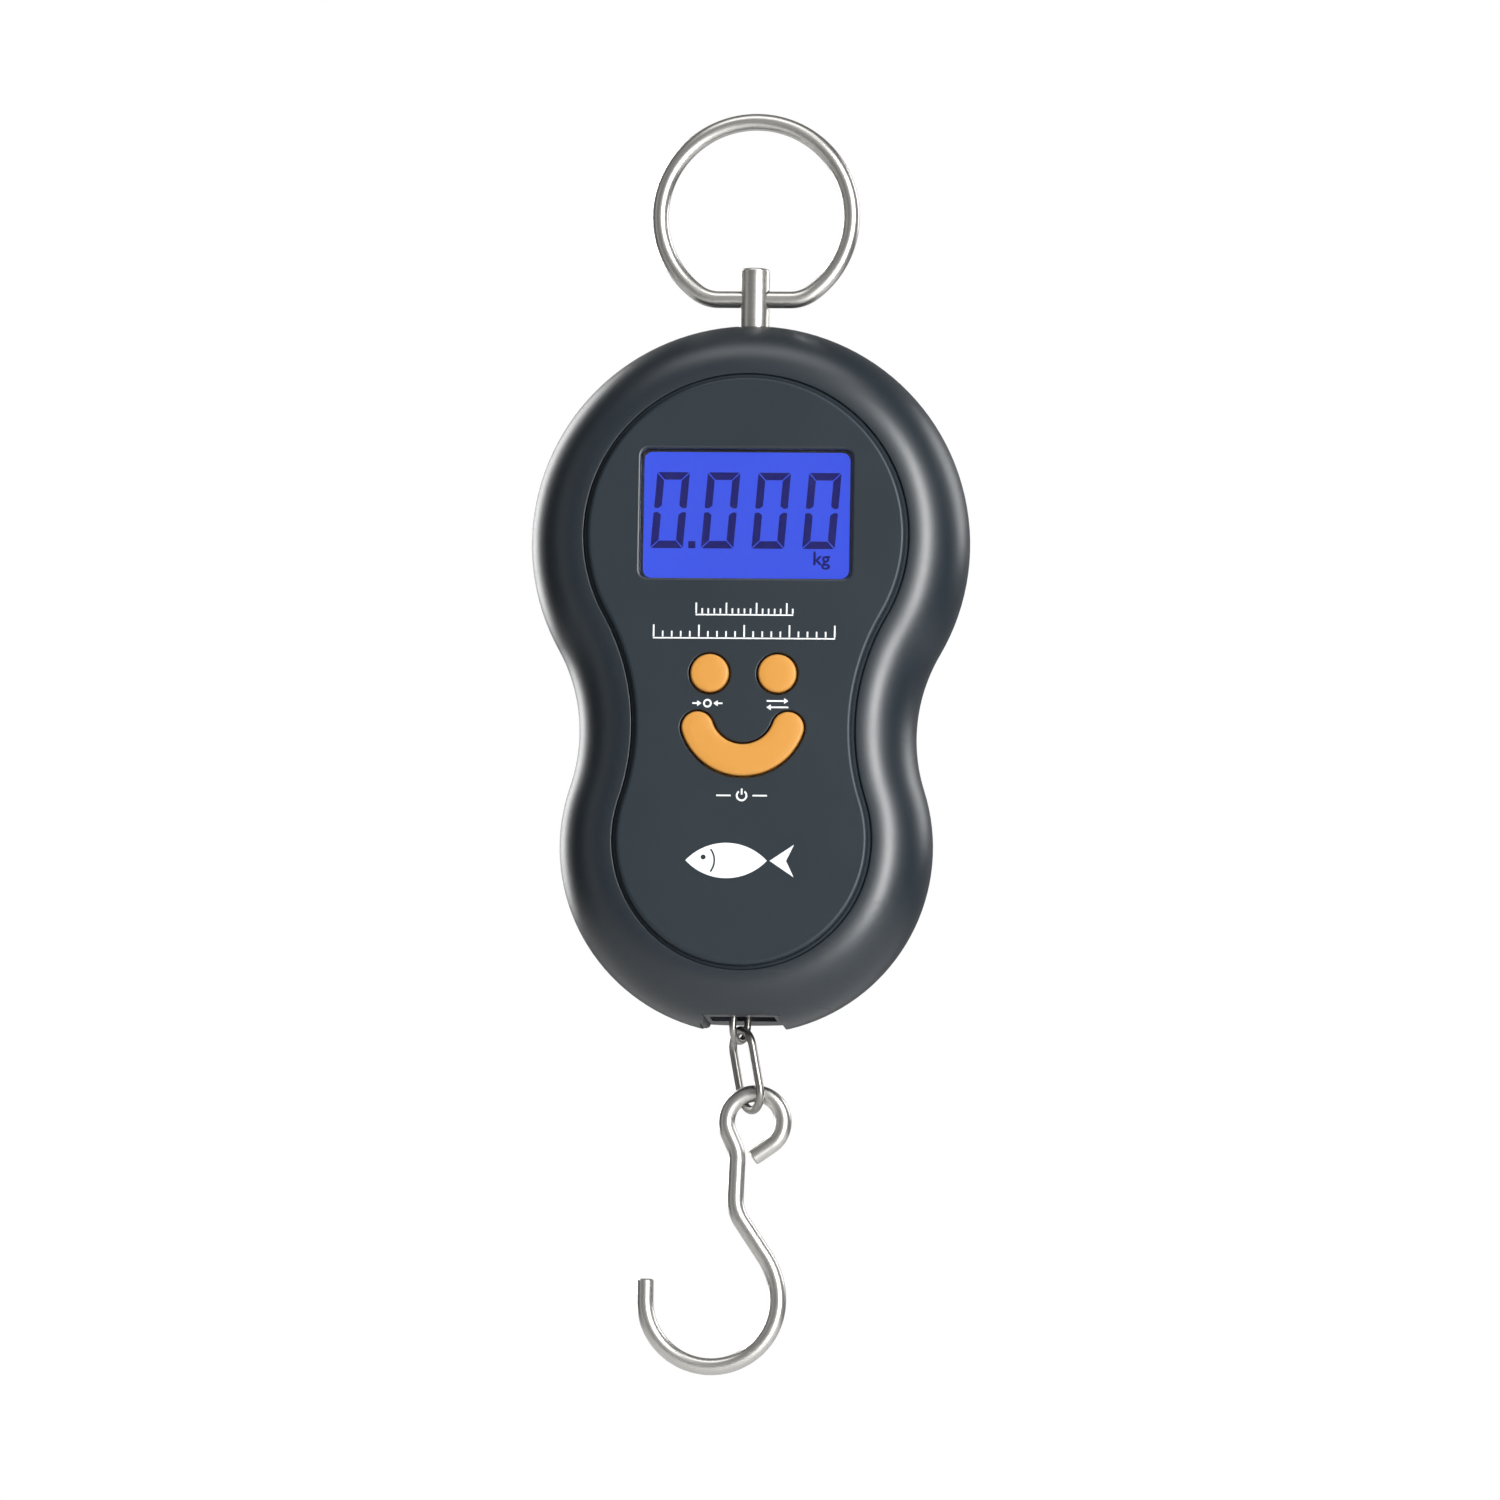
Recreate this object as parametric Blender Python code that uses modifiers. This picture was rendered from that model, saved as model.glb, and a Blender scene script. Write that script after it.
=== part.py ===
"""Digital hanging fish scale: a ring, a post, a load cell in a two-piece casing, and a hook on two links.

Metres, +Z up. The origin is the point at the inner top of the ring, where the scale hangs. The display looks
along -Y, and the plane Y = 0 is the seam between the front and rear covers: the load runs through it from the
ring to the hook.
"""

import math

import bmesh
import bpy
from mathutils import Matrix, Vector
from mathutils.geometry import interpolate_bezier

MM = 0.001
GAP = 0.3 * MM  # between pieces that would touch

# Casing outline: two lobes joined by hollow waists
UPPER_LOBE_R = 36.5 * MM
LOWER_LOBE_R = 31.0 * MM
WAIST_R = 28.5 * MM
LOBE_SPACING = 50.7 * MM
UPPER_LOBE_Z = -69.7 * MM
LOWER_LOBE_Z = UPPER_LOBE_Z - LOBE_SPACING
CASING_TOP_Z = UPPER_LOBE_Z + UPPER_LOBE_R
CASING_BOTTOM_Z = LOWER_LOBE_Z - LOWER_LOBE_R

# Casing depth
FRONT_FACE_Y = -12.5 * MM
REAR_FACE_Y = 16.0 * MM
WALL = 2.2 * MM
SHOULDER_Y = -11.4 * MM  # where the front's rolled edge ends, at the groove round the raised panel
SHOULDER_INSET = 9.3 * MM
PANEL_INNER_Y = -10.5 * MM
REAR_INNER_Y = 14.0 * MM

# Ring and post
RING_R = 16.0 * MM  # to the wire's centre
RING_WIRE_R = 1.4 * MM
RING_CENTRE_Z = RING_WIRE_R - RING_R
RING_FLAT_DROP = 14.0 * MM  # from the ring's centre to the flat that runs through the post
RING_CORNER_R = 6.0 * MM
RING_AXIS_Z = RING_CENTRE_Z - RING_FLAT_DROP
POST_R = 2.5 * MM
POST_SHANK_R = 1.6 * MM
POST_TOP_Z = -23.5 * MM
POST_SHOULDER_Z = -40.5 * MM

# Load cell
CELL_TOP_Z = -44.0 * MM
CELL_BOTTOM_Z = -136.0 * MM
CELL_HALF_WIDTH = 8.0 * MM
CELL_HALF_DEPTH = 2.8 * MM
CELL_MIDDLE_Z = -94.0 * MM
CELL_SCREW_AT = (4.5 * MM, -56.0 * MM)  # X, mirrored, and Z

# Links and hook: the links hang a little askew, as loose links do
HANGER_TOP = Vector((0.0, 0.0, -141.8)) * MM
HANGER_LENGTH = 11.0 * MM
HANGER_WIDTH = 5.0 * MM
HANGER_WIRE_R = 0.6 * MM
HANGER_TILT = math.radians(3.6)
HANGER_TWIST = math.radians(65.0)
LINK_TOP = Vector((-0.6, 0.0, -151.0)) * MM
LINK_LENGTH = 13.4 * MM
LINK_WIDTH = 6.6 * MM
LINK_WIRE_R = 0.7 * MM
LINK_TILT = math.radians(-10.75)
LINK_TWIST = math.radians(-57.0)
HOOK_PIVOT_DROP = 0.15 * MM  # from the middle of the link's wire to where the hook turns
HOOK_WIRE_R = 1.4 * MM
HOOK_TIP = (-15.6 * MM, -192.4 * MM)
HOOK_BENDS = (  # straight length in mm, then a turn in degrees, to the left if positive, and its radius in mm
    (3.4, 180, 11.0),
    (0.0, 34, 13.0),
    (6.95, -36, 7.0),
    (5.9, 27, 6.0),
    (2.0, -260, 4.7),
    (3.7, 0, 0.0),
)

# Display
WINDOW_CENTRE_Z = -66.2 * MM
WINDOW_WIDTH = 35.0 * MM
WINDOW_HEIGHT = 21.6 * MM
WINDOW_CORNER_R = 1.3 * MM
LENS_MARGIN = 1.5 * MM  # how far the lens reaches behind the edge of the opening
LENS_THICKNESS = 1.0 * MM

# Circuit board
BOARD_HALF_WIDTH = 22.0 * MM
BOARD_TOP_Z = -46.5 * MM
BOARD_BOTTOM_Z = -115.0 * MM
BOARD_FRONT_Y = -5.2 * MM
BOARD_REAR_Y = -4.0 * MM
BOARD_SCREWS = ((14.0 * MM, -49.5 * MM), (17.5 * MM, -112.0 * MM))

# Buttons
BUTTON_FRONT_Y = -13.4 * MM
BUTTON_TRAVEL = 0.5 * MM
ROUND_BUTTON_R = 3.15 * MM
ROUND_BUTTON_X = 5.6 * MM
ROUND_BUTTON_Z = -92.9 * MM
ARC_BUTTON_Z = -99.4 * MM  # centre of the curved button's arc
ARC_BUTTON_R = 7.9 * MM  # to the middle of its width
ARC_BUTTON_HALF_WIDTH = 2.6 * MM
ARC_BUTTON_RISE = 18.5  # degrees below horizontal at which its ends lie
POWER_SWITCH_Z = ARC_BUTTON_Z - ARC_BUTTON_R

# Battery bay, for two AAA cells
BAY_HALF_WIDTH = 11.6 * MM
BAY_TOP_Z = -61.0 * MM
BAY_BOTTOM_Z = -113.0 * MM
BAY_FLOOR_Y = 4.0 * MM
BATTERY_R = 5.1 * MM
BATTERY_LENGTH = 43.5 * MM
BATTERY_NUB = 1.0 * MM
BATTERY_X = 5.5 * MM
BATTERY_Y = 9.3 * MM
DOOR_HALF_WIDTH = 13.5 * MM
DOOR_TOP_Z = -59.0 * MM
DOOR_BOTTOM_Z = -115.0 * MM
DOOR_INNER_Y = 14.6 * MM
DOOR_OUTER_Y = 15.8 * MM
DOOR_PIN_R = 0.4 * MM
DOOR_PIN_LENGTH = 0.9 * MM

CASE_SCREWS = ((25.5 * MM, UPPER_LOBE_Z), (17.5 * MM, -130.0 * MM))  # X, mirrored, and Z
SLOT_HALF_WIDTH = 6.2 * MM
SLOT_CEILING_Z = -149.1 * MM

FINISHES = {  # base colour, roughness, metallic
    "casing": ((0.042, 0.056, 0.070), 0.45, 0.0),
    "button": ((0.95, 0.46, 0.09), 0.5, 0.0),
    "wire_steel": ((0.62, 0.61, 0.58), 0.25, 1.0),
    "post_steel": ((0.55, 0.54, 0.50), 0.35, 1.0),
    "screw_steel": ((0.45, 0.45, 0.46), 0.3, 1.0),
    "aluminium": ((0.75, 0.76, 0.77), 0.35, 1.0),
    "clear": ((0.9, 0.93, 1.0), 0.05, 0.0),
    "display": ((0.07, 0.10, 0.95), 0.15, 0.0),
    "light_guide": ((0.85, 0.88, 0.95), 0.3, 0.0),
    "board": ((0.02, 0.16, 0.06), 0.4, 0.0),
    "black_part": ((0.015, 0.015, 0.017), 0.4, 0.0),
    "sealant": ((0.8, 0.8, 0.76), 0.5, 0.0),
    "gauge_film": ((0.62, 0.33, 0.08), 0.35, 0.0),
    "contact": ((0.72, 0.70, 0.64), 0.25, 1.0),
    "battery": ((0.03, 0.10, 0.30), 0.3, 0.0),
    "red_wire": ((0.55, 0.02, 0.02), 0.45, 0.0),
    "black_wire": ((0.02, 0.02, 0.02), 0.45, 0.0),
    "green_wire": ((0.03, 0.32, 0.08), 0.45, 0.0),
    "white_wire": ((0.75, 0.75, 0.72), 0.45, 0.0),
}


# ---------------------------------------------------------------- scene, materials and objects


def clear_scene():
    for obj in list(bpy.data.objects):
        bpy.data.objects.remove(obj, do_unlink=True)


def new_collection(name):
    collection = bpy.data.collections.new(name)
    bpy.context.scene.collection.children.link(collection)
    return collection


def finish(name):
    """The Principled material of that finish, made the first time it is asked for."""
    material = bpy.data.materials.get(name)
    if material is None:
        colour, roughness, metallic = FINISHES[name]
        material = bpy.data.materials.new(name)
        material.use_nodes = True
        shader = material.node_tree.nodes["Principled BSDF"]
        shader.inputs["Base Color"].default_value = (*colour, 1.0)
        shader.inputs["Roughness"].default_value = roughness
        shader.inputs["Metallic"].default_value = metallic
    return material


def add_object(name, data, finish_name):
    """A part of the scale or, with no finish, a hidden shape that a Boolean cuts with or joins."""
    obj = bpy.data.objects.new(name, data)
    if finish_name:
        data.materials.append(finish(finish_name))
        parts.objects.link(obj)
    else:
        helpers.objects.link(obj)
        obj.hide_render = True
        obj.display_type = "WIRE"
    return obj


def mesh_object(name, bm, finish_name=None):
    bmesh.ops.recalc_face_normals(bm, faces=bm.faces)
    mesh = bpy.data.meshes.new(name)
    bm.to_mesh(mesh)
    bm.free()
    mesh.shade_smooth()
    mesh.set_sharp_from_angle(angle=math.radians(35))
    return add_object(name, mesh, finish_name)


def combine(target, other, operation):
    modifier = target.modifiers.new(other.name, "BOOLEAN")
    modifier.operation = operation
    modifier.object = other
    return target


def cut(target, *cutters):
    for cutter in cutters:
        combine(target, cutter, "DIFFERENCE")
    return target


def join(target, *others):
    for other in others:
        combine(target, other, "UNION")
    return target


# ---------------------------------------------------------------- shapes


def add_box(bm, low, high):
    low, high = Vector(low), Vector(high)
    size = Matrix.Diagonal((high - low).to_4d())
    size[3][3] = 1.0
    made = bmesh.ops.create_cube(bm, size=1.0, matrix=Matrix.Translation((low + high) / 2) @ size)
    return made["verts"]


def add_rod(bm, radius, start, end, sides=16, end_radius=None):
    """A cylinder from start to end, or a cone if end_radius differs."""
    start, end = Vector(start), Vector(end)
    along = end - start
    place = Matrix.Translation((start + end) / 2) @ along.to_track_quat("Z", "Y").to_matrix().to_4x4()
    bmesh.ops.create_cone(
        bm,
        cap_ends=True,
        segments=sides,
        radius1=radius,
        radius2=radius if end_radius is None else end_radius,
        depth=along.length,
        matrix=place,
    )


def box(name, low, high, finish_name=None):
    bm = bmesh.new()
    add_box(bm, low, high)
    return mesh_object(name, bm, finish_name)


def rods_along_y(name, places, radius, y_start, y_end, finish_name=None, sides=16):
    """Equal cylinders along Y, one at each (X, Z), in one mesh."""
    bm = bmesh.new()
    for x, z in places:
        add_rod(bm, radius, (x, y_start, z), (x, y_end, z), sides)
    return mesh_object(name, bm, finish_name)


def plate(name, outline, y_front, y_back, finish_name=None):
    """A flat outline of (X, Z) points, extruded along Y."""
    bm = bmesh.new()
    face = bm.faces.new([bm.verts.new((x, y_front, z)) for x, z in outline])
    side = bmesh.ops.extrude_face_region(bm, geom=[face])["geom"]
    moved = [v for v in side if isinstance(v, bmesh.types.BMVert)]
    bmesh.ops.translate(bm, verts=moved, vec=(0, y_back - y_front, 0))
    return mesh_object(name, bm, finish_name)


def turned(name, profile, centre, finish_name, axis="Y", steps=20):
    """A profile of (radius, distance along the axis) points, turned about that axis through centre."""
    mesh = bpy.data.meshes.new(name)
    points = [(radius, 0, along) for radius, along in profile]
    mesh.from_pydata(points, [(i, i + 1) for i in range(len(points) - 1)], [])
    obj = add_object(name, mesh, finish_name)
    obj.location = centre
    if axis == "Y":
        obj.rotation_euler = (math.radians(-90), 0, 0)
    screw = obj.modifiers.new("Turn", "SCREW")
    screw.steps = screw.render_steps = steps
    screw.use_merge_vertices = True
    screw.merge_threshold = 0.01 * MM
    return obj


def wire(name, points, radius, finish_name, closed=False, detail=2):
    """A round wire through the points, as a curve with a bevel."""
    curve = bpy.data.curves.new(name, "CURVE")
    curve.dimensions = "3D"
    curve.bevel_depth = radius
    curve.bevel_resolution = detail
    curve.use_fill_caps = True
    spline = curve.splines.new("POLY")
    spline.points.add(len(points) - 1)
    for point, place in zip(spline.points, points):
        point.co = (*place, 1.0)
    spline.use_cyclic_u = closed
    return add_object(name, curve, finish_name)


def arc(centre, radius, start, end, steps):
    """(X, Z) points on an arc, from start to end in degrees, both ends included."""
    angles = [math.radians(start + (end - start) * i / steps) for i in range(steps + 1)]
    return [(centre[0] + radius * math.cos(a), centre[1] + radius * math.sin(a)) for a in angles]


def bent_wire(start, heading, bends, step=11.0):
    """(X, Z) points along a wire bent flat. A bend is a straight length, then a turn and its radius."""
    x, z = start
    points = [(x, z)]
    for straight, turn, radius in bends:
        x += straight * MM * math.cos(math.radians(heading))
        z += straight * MM * math.sin(math.radians(heading))
        if straight:
            points.append((x, z))
        if turn:
            side = math.copysign(90, turn)
            centre_angle = math.radians(heading + side)
            centre = (x + radius * MM * math.cos(centre_angle), z + radius * MM * math.sin(centre_angle))
            steps = max(2, round(abs(turn) / step))
            points += arc(centre, radius * MM, heading - side, heading - side + turn, steps)[1:]
            x, z = points[-1]
            heading += turn
    return points


def in_plane(points, y=0.0):
    return [(x, y, z) for x, z in points]


def rounded_rectangle(half_width, top, bottom, corner, steps=4):
    """(X, Z) outline, centred on X = 0."""
    right, up, down = half_width - corner, top - corner, bottom + corner
    return (
        arc((right, up), corner, 0, 90, steps)
        + arc((-right, up), corner, 90, 180, steps)
        + arc((-right, down), corner, 180, 270, steps)
        + arc((right, down), corner, 270, 360, steps)
    )


# ---------------------------------------------------------------- casing


def casing_outline(inset):
    """The hourglass outline moved inwards: two lobe arcs and two waist arcs that meet tangentially."""
    upper, lower = UPPER_LOBE_R + WAIST_R, LOWER_LOBE_R + WAIST_R
    drop = (upper**2 - lower**2 + LOBE_SPACING**2) / (2 * LOBE_SPACING)
    waist_x, waist_z = math.sqrt(upper**2 - drop**2), UPPER_LOBE_Z - drop
    to_upper = math.degrees(math.atan2(waist_z - UPPER_LOBE_Z, waist_x))
    to_lower = math.degrees(math.atan2(waist_z - LOWER_LOBE_Z, waist_x))
    waist_r = WAIST_R + inset
    return (
        arc((0, UPPER_LOBE_Z), UPPER_LOBE_R - inset, to_upper, 180 - to_upper, 24)
        + arc((-waist_x, waist_z), waist_r, -to_upper, -to_lower, 7)[1:-1]
        + arc((0, LOWER_LOBE_Z), LOWER_LOBE_R - inset, 180 - to_lower, 360 + to_lower, 21)
        + arc((waist_x, waist_z), waist_r, 180 + to_lower, 180 + to_upper, 7)[1:-1]
    )


def shell(name, profile, finish_name):
    """A casing half: hourglass sections lofted through (inset, Y) points, outer face to inner face."""
    bm = bmesh.new()
    rings = [[bm.verts.new((x, y, z)) for x, z in casing_outline(inset)] for inset, y in profile]
    count = len(rings[0])
    for ring, following in zip(rings, rings[1:]):
        for i in range(count):
            j = (i + 1) % count
            bm.faces.new((ring[i], ring[j], following[j], following[i]))
    bm.faces.new(rings[0])
    bm.faces.new(rings[-1])
    return mesh_object(name, bm, finish_name)


def rolled_edge(rim_inset, width, seam_y, face_y, steps, fullness):
    """(inset, Y) points of a superellipse quarter, from the side wall at the seam over to the face."""
    power = 2 / fullness
    points = []
    for i in range(steps + 1):
        angle = math.radians(90) * i / steps
        across = 1 - max(math.cos(angle), 0.0) ** power
        forward = math.sin(angle) ** power
        points.append((rim_inset + width * across, seam_y + (face_y - seam_y) * forward))
    return points


def mirrored(places):
    return [(side * x, z) for x, z in places for side in (-1, 1)]


def exit_cutters(name):
    """What both covers are cut with: the post's hole above, and the link's hole and slot below."""
    bm = bmesh.new()
    add_rod(bm, POST_R + GAP, (0, 0, CASING_TOP_Z + 4 * MM), (0, 0, CASING_TOP_Z - 6 * MM), 20)
    add_box(bm, (-5.4 * MM, -4 * MM, CASING_BOTTOM_Z - 1 * MM), (5.4 * MM, 4 * MM, -143 * MM))
    slot = box(
        name + "_slot",
        (-SLOT_HALF_WIDTH, -20 * MM, CASING_BOTTOM_Z - 3 * MM),
        (SLOT_HALF_WIDTH, 20 * MM, SLOT_CEILING_Z),
    )
    return mesh_object(name + "_exits", bm), slot


def sill(name, y_seam, y_far):
    """The thicker floor round the link's hole."""
    low_y, high_y = sorted((y_seam, y_far))
    return box(name, (-6.6 * MM, low_y, -149.3 * MM), (6.6 * MM, high_y, -146.5 * MM))


def make_front_cover():
    outer = rolled_edge(0, SHOULDER_INSET, -GAP / 2, SHOULDER_Y, 8, 2.0)
    groove = [(9.5 * MM, -10.9 * MM), (10.1 * MM, -10.9 * MM)]
    panel_edge = [(10.3 * MM, -12.2 * MM), (10.6 * MM, FRONT_FACE_Y)]
    inner = rolled_edge(WALL, 7.0 * MM, -GAP / 2, -9.3 * MM, 5, 2.3)
    inner += [(10.7 * MM, -9.3 * MM), (11.2 * MM, PANEL_INNER_Y)]
    profile = panel_edge[::-1] + groove[::-1] + outer[::-1] + inner
    cover = shell("front_cover", profile, "casing")
    join(
        cover,
        rods_along_y("front_case_bosses", mirrored(CASE_SCREWS), 2.8 * MM, -0.45 * MM, -10.7 * MM),
        rods_along_y(
            "board_bosses", mirrored(BOARD_SCREWS), 2.4 * MM, BOARD_FRONT_Y - GAP, -10.7 * MM
        ),
        sill("front_sill", -GAP / 2, -6.5 * MM),
    )
    window_top = WINDOW_CENTRE_Z + WINDOW_HEIGHT / 2
    window_bottom = WINDOW_CENTRE_Z - WINDOW_HEIGHT / 2
    rebate = LENS_MARGIN + GAP
    cut(
        cover,
        plate(
            "window_opening",
            rounded_rectangle(WINDOW_WIDTH / 2, window_top, window_bottom, WINDOW_CORNER_R),
            -14 * MM,
            -9 * MM,
        ),
        plate(
            "lens_rebate",
            rounded_rectangle(
                WINDOW_WIDTH / 2 + rebate, window_top + rebate, window_bottom - rebate, 2 * MM
            ),
            PANEL_INNER_Y - LENS_THICKNESS - 0.1 * MM,
            -9 * MM,
        ),
        rods_along_y(
            "round_button_holes",
            mirrored([(ROUND_BUTTON_X, ROUND_BUTTON_Z)]),
            ROUND_BUTTON_R + GAP,
            -14 * MM,
            -9 * MM,
            sides=24,
        ),
        plate("arc_button_hole", arc_button_outline(GAP), -14 * MM, -9 * MM),
        rods_along_y("front_case_pilots", mirrored(CASE_SCREWS), 1.2 * MM, 1 * MM, -7.5 * MM, sides=10),
        rods_along_y("board_pilots", mirrored(BOARD_SCREWS), 1.0 * MM, -4 * MM, -9.6 * MM, sides=10),
        *exit_cutters("front"),
    )


def make_rear_cover():
    outer = rolled_edge(0, 8.0 * MM, GAP / 2, REAR_FACE_Y, 8, 2.2)
    inner = rolled_edge(WALL, 7.6 * MM, GAP / 2, REAR_INNER_Y, 5, 2.6)
    cover = shell("rear_cover", outer[::-1] + inner, "casing")
    wall = 1.2 * MM
    bay = box(
        "bay_walls",
        (-BAY_HALF_WIDTH - wall, BAY_FLOOR_Y - 0.8 * MM, BAY_BOTTOM_Z - wall),
        (BAY_HALF_WIDTH + wall, 14.5 * MM, BAY_TOP_Z + wall),
    )
    ledge = box(
        "door_ledge",
        (-DOOR_HALF_WIDTH - 1.6 * MM, 12.6 * MM, DOOR_BOTTOM_Z - 1.6 * MM),
        (DOOR_HALF_WIDTH + 1.6 * MM, 15.0 * MM, DOOR_TOP_Z + 1.6 * MM),
    )
    join(
        cover,
        rods_along_y("rear_case_bosses", mirrored(CASE_SCREWS), 3.4 * MM, 0.45 * MM, 15 * MM),
        rods_along_y(
            "cell_bosses", mirrored([CELL_SCREW_AT]), 2.6 * MM, CELL_HALF_DEPTH + GAP, 14.5 * MM
        ),
        bay,
        ledge,
        sill("rear_sill", GAP / 2, 6.5 * MM),
    )
    clear = 0.25 * MM
    pin_y, pin_z = door_axis()
    reach = DOOR_HALF_WIDTH + DOOR_PIN_LENGTH + GAP
    sockets = bmesh.new()
    add_rod(sockets, DOOR_PIN_R + 0.15 * MM, (-reach, pin_y, pin_z), (reach, pin_y, pin_z), 12)
    cut(
        cover,
        box(
            "bay_space",
            (-BAY_HALF_WIDTH, BAY_FLOOR_Y, BAY_BOTTOM_Z),
            (BAY_HALF_WIDTH, 18 * MM, BAY_TOP_Z),
        ),
        box(
            "door_rebate",
            (-DOOR_HALF_WIDTH - clear, DOOR_INNER_Y - 0.15 * MM, DOOR_BOTTOM_Z - clear),
            (DOOR_HALF_WIDTH + clear, 18 * MM, DOOR_TOP_Z + clear),
        ),
        rods_along_y(
            "finger_notch", [(0, DOOR_BOTTOM_Z - 0.5 * MM)], 5 * MM, 15.2 * MM, 17 * MM, sides=24
        ),
        mesh_object("pin_sockets", sockets),
        rods_along_y("head_wells", mirrored(CASE_SCREWS), 2.5 * MM, 4 * MM, 18 * MM),
        rods_along_y("screw_clearances", mirrored(CASE_SCREWS), 1.4 * MM, -1 * MM, 5 * MM, sides=10),
        rods_along_y("cell_pilots", mirrored([CELL_SCREW_AT]), 1.1 * MM, 2 * MM, 10 * MM, sides=10),
        *exit_cutters("rear"),
    )


def make_case_screws():
    profile = [(0, -6.0), (0.7, -5.4), (1.0, -4.6), (1.0, 4.3), (2.1, 4.3), (2.1, 5.6), (1.7, 6.1), (0, 6.1)]
    for row, (x, z) in zip(("upper", "lower"), CASE_SCREWS):
        for side, name in ((-1, "left"), (1, "right")):
            turned(
                f"case_screw_{row}_{name}",
                [(r * MM, y * MM) for r, y in profile[::-1]],
                (side * x, 0, z),
                "screw_steel",
                steps=12,
            )


# ---------------------------------------------------------------- ring, post and load cell


def make_hanging_ring():
    """A round of wire, flattened where it runs through the post, with its corners rounded."""
    corner_x = math.sqrt((RING_R - RING_CORNER_R) ** 2 - (RING_FLAT_DROP - RING_CORNER_R) ** 2)
    corner_z = RING_AXIS_Z + RING_CORNER_R
    meet = math.degrees(math.atan2(corner_z - RING_CENTRE_Z, corner_x))
    points = (
        arc((corner_x, corner_z), RING_CORNER_R, -90, meet, 4)
        + arc((0, RING_CENTRE_Z), RING_R, meet, 180 - meet, 32)[1:-1]
        + arc((-corner_x, corner_z), RING_CORNER_R, 180 - meet, 270, 4)
    )
    wire("hanging_ring", in_plane(points), RING_WIRE_R, "wire_steel", closed=True, detail=4)


def make_top_post():
    bottom = CELL_TOP_Z - 8 * MM
    profile = [
        (0, POST_TOP_Z),
        (POST_R - 0.3 * MM, POST_TOP_Z),
        (POST_R, POST_TOP_Z - 0.3 * MM),
        (POST_R, POST_SHOULDER_Z),
        (POST_SHANK_R, POST_SHOULDER_Z),
        (POST_SHANK_R, bottom),
        (0, bottom),
    ]
    post = turned("top_post", profile, (0, 0, 0), "post_steel", axis="Z", steps=24)
    eye = bmesh.new()
    add_rod(eye, RING_WIRE_R + GAP, (-4 * MM, 0, RING_AXIS_Z), (4 * MM, 0, RING_AXIS_Z), 20)
    cut(post, mesh_object("ring_hole", eye))


def make_post_lock_nut():
    top, bottom = POST_SHOULDER_Z - GAP, CELL_TOP_Z + GAP
    nut, hole = bmesh.new(), bmesh.new()
    add_rod(nut, 3.2 * MM, (0, 0, bottom), (0, 0, top), 6)
    add_rod(hole, POST_SHANK_R + 0.25 * MM, (0, 0, bottom - 1 * MM), (0, 0, top + 1 * MM), 16)
    cut(mesh_object("post_lock_nut", nut, "screw_steel"), mesh_object("nut_thread", hole))


def make_load_cell():
    """An aluminium S-beam: two side cuts and a pair of joined holes leave thin walls that flex."""
    cell = box(
        "load_cell",
        (-CELL_HALF_WIDTH, -CELL_HALF_DEPTH, CELL_BOTTOM_Z),
        (CELL_HALF_WIDTH, CELL_HALF_DEPTH, CELL_TOP_Z),
        "aluminium",
    )
    tongue = box(
        "cell_tongue",
        (-4.5 * MM, -0.8 * MM, HANGER_TOP.z - 3.4 * MM),
        (4.5 * MM, 0.8 * MM, CELL_BOTTOM_Z + 2 * MM),
    )
    deep = CELL_HALF_DEPTH + 2 * MM
    cut_half, reach, arm = 0.6 * MM, 3.6 * MM, 15 * MM
    holes = bmesh.new()
    for side in (-1, 1):
        z = CELL_MIDDLE_Z + side * 7 * MM
        add_rod(holes, 6.2 * MM, (0, -deep, z), (0, deep, z), 20)
    bridge = bmesh.new()
    add_box(bridge, (-1.5 * MM, -deep, CELL_MIDDLE_Z - 4 * MM), (1.5 * MM, deep, CELL_MIDDLE_Z + 4 * MM))
    slots = bmesh.new()
    upper, lower = CELL_MIDDLE_Z + arm, CELL_MIDDLE_Z - arm
    add_box(slots, (-10 * MM, -deep, upper - cut_half), (reach, deep, upper + cut_half))
    add_box(slots, (-reach, -deep, lower - cut_half), (10 * MM, deep, lower + cut_half))
    thread = bmesh.new()
    add_rod(thread, POST_SHANK_R + 0.25 * MM, (0, 0, CELL_TOP_Z - 9 * MM), (0, 0, CELL_TOP_Z + 1 * MM), 16)
    screws = mirrored([CELL_SCREW_AT])
    join(cell, tongue)
    cut(
        cell,
        mesh_object("flexure_holes", holes),
        mesh_object("flexure_bridge", bridge),
        mesh_object("side_cuts", slots),
        mesh_object("post_thread", thread),
        rods_along_y("hanger_hole", [(0, HANGER_TOP.z + 0.9 * MM)], 2.1 * MM, -deep, deep, sides=20),
        rods_along_y("cell_screw_heads", screws, 2.3 * MM, -deep, -1.3 * MM),
        rods_along_y("cell_screw_holes", screws, 1.15 * MM, -deep, deep, sides=10),
    )
    screw = [(0, -2.7), (1.9, -2.7), (2.0, -1.6), (0.9, -1.6), (0.9, 8.4), (0, 9.0)]
    for side, name in ((-1, "left"), (1, "right")):
        x, z = CELL_SCREW_AT
        turned(
            f"load_cell_screw_{name}",
            [(r * MM, y * MM) for r, y in screw[::-1]],
            (side * x, 0, z),
            "screw_steel",
            steps=12,
        )


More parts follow.
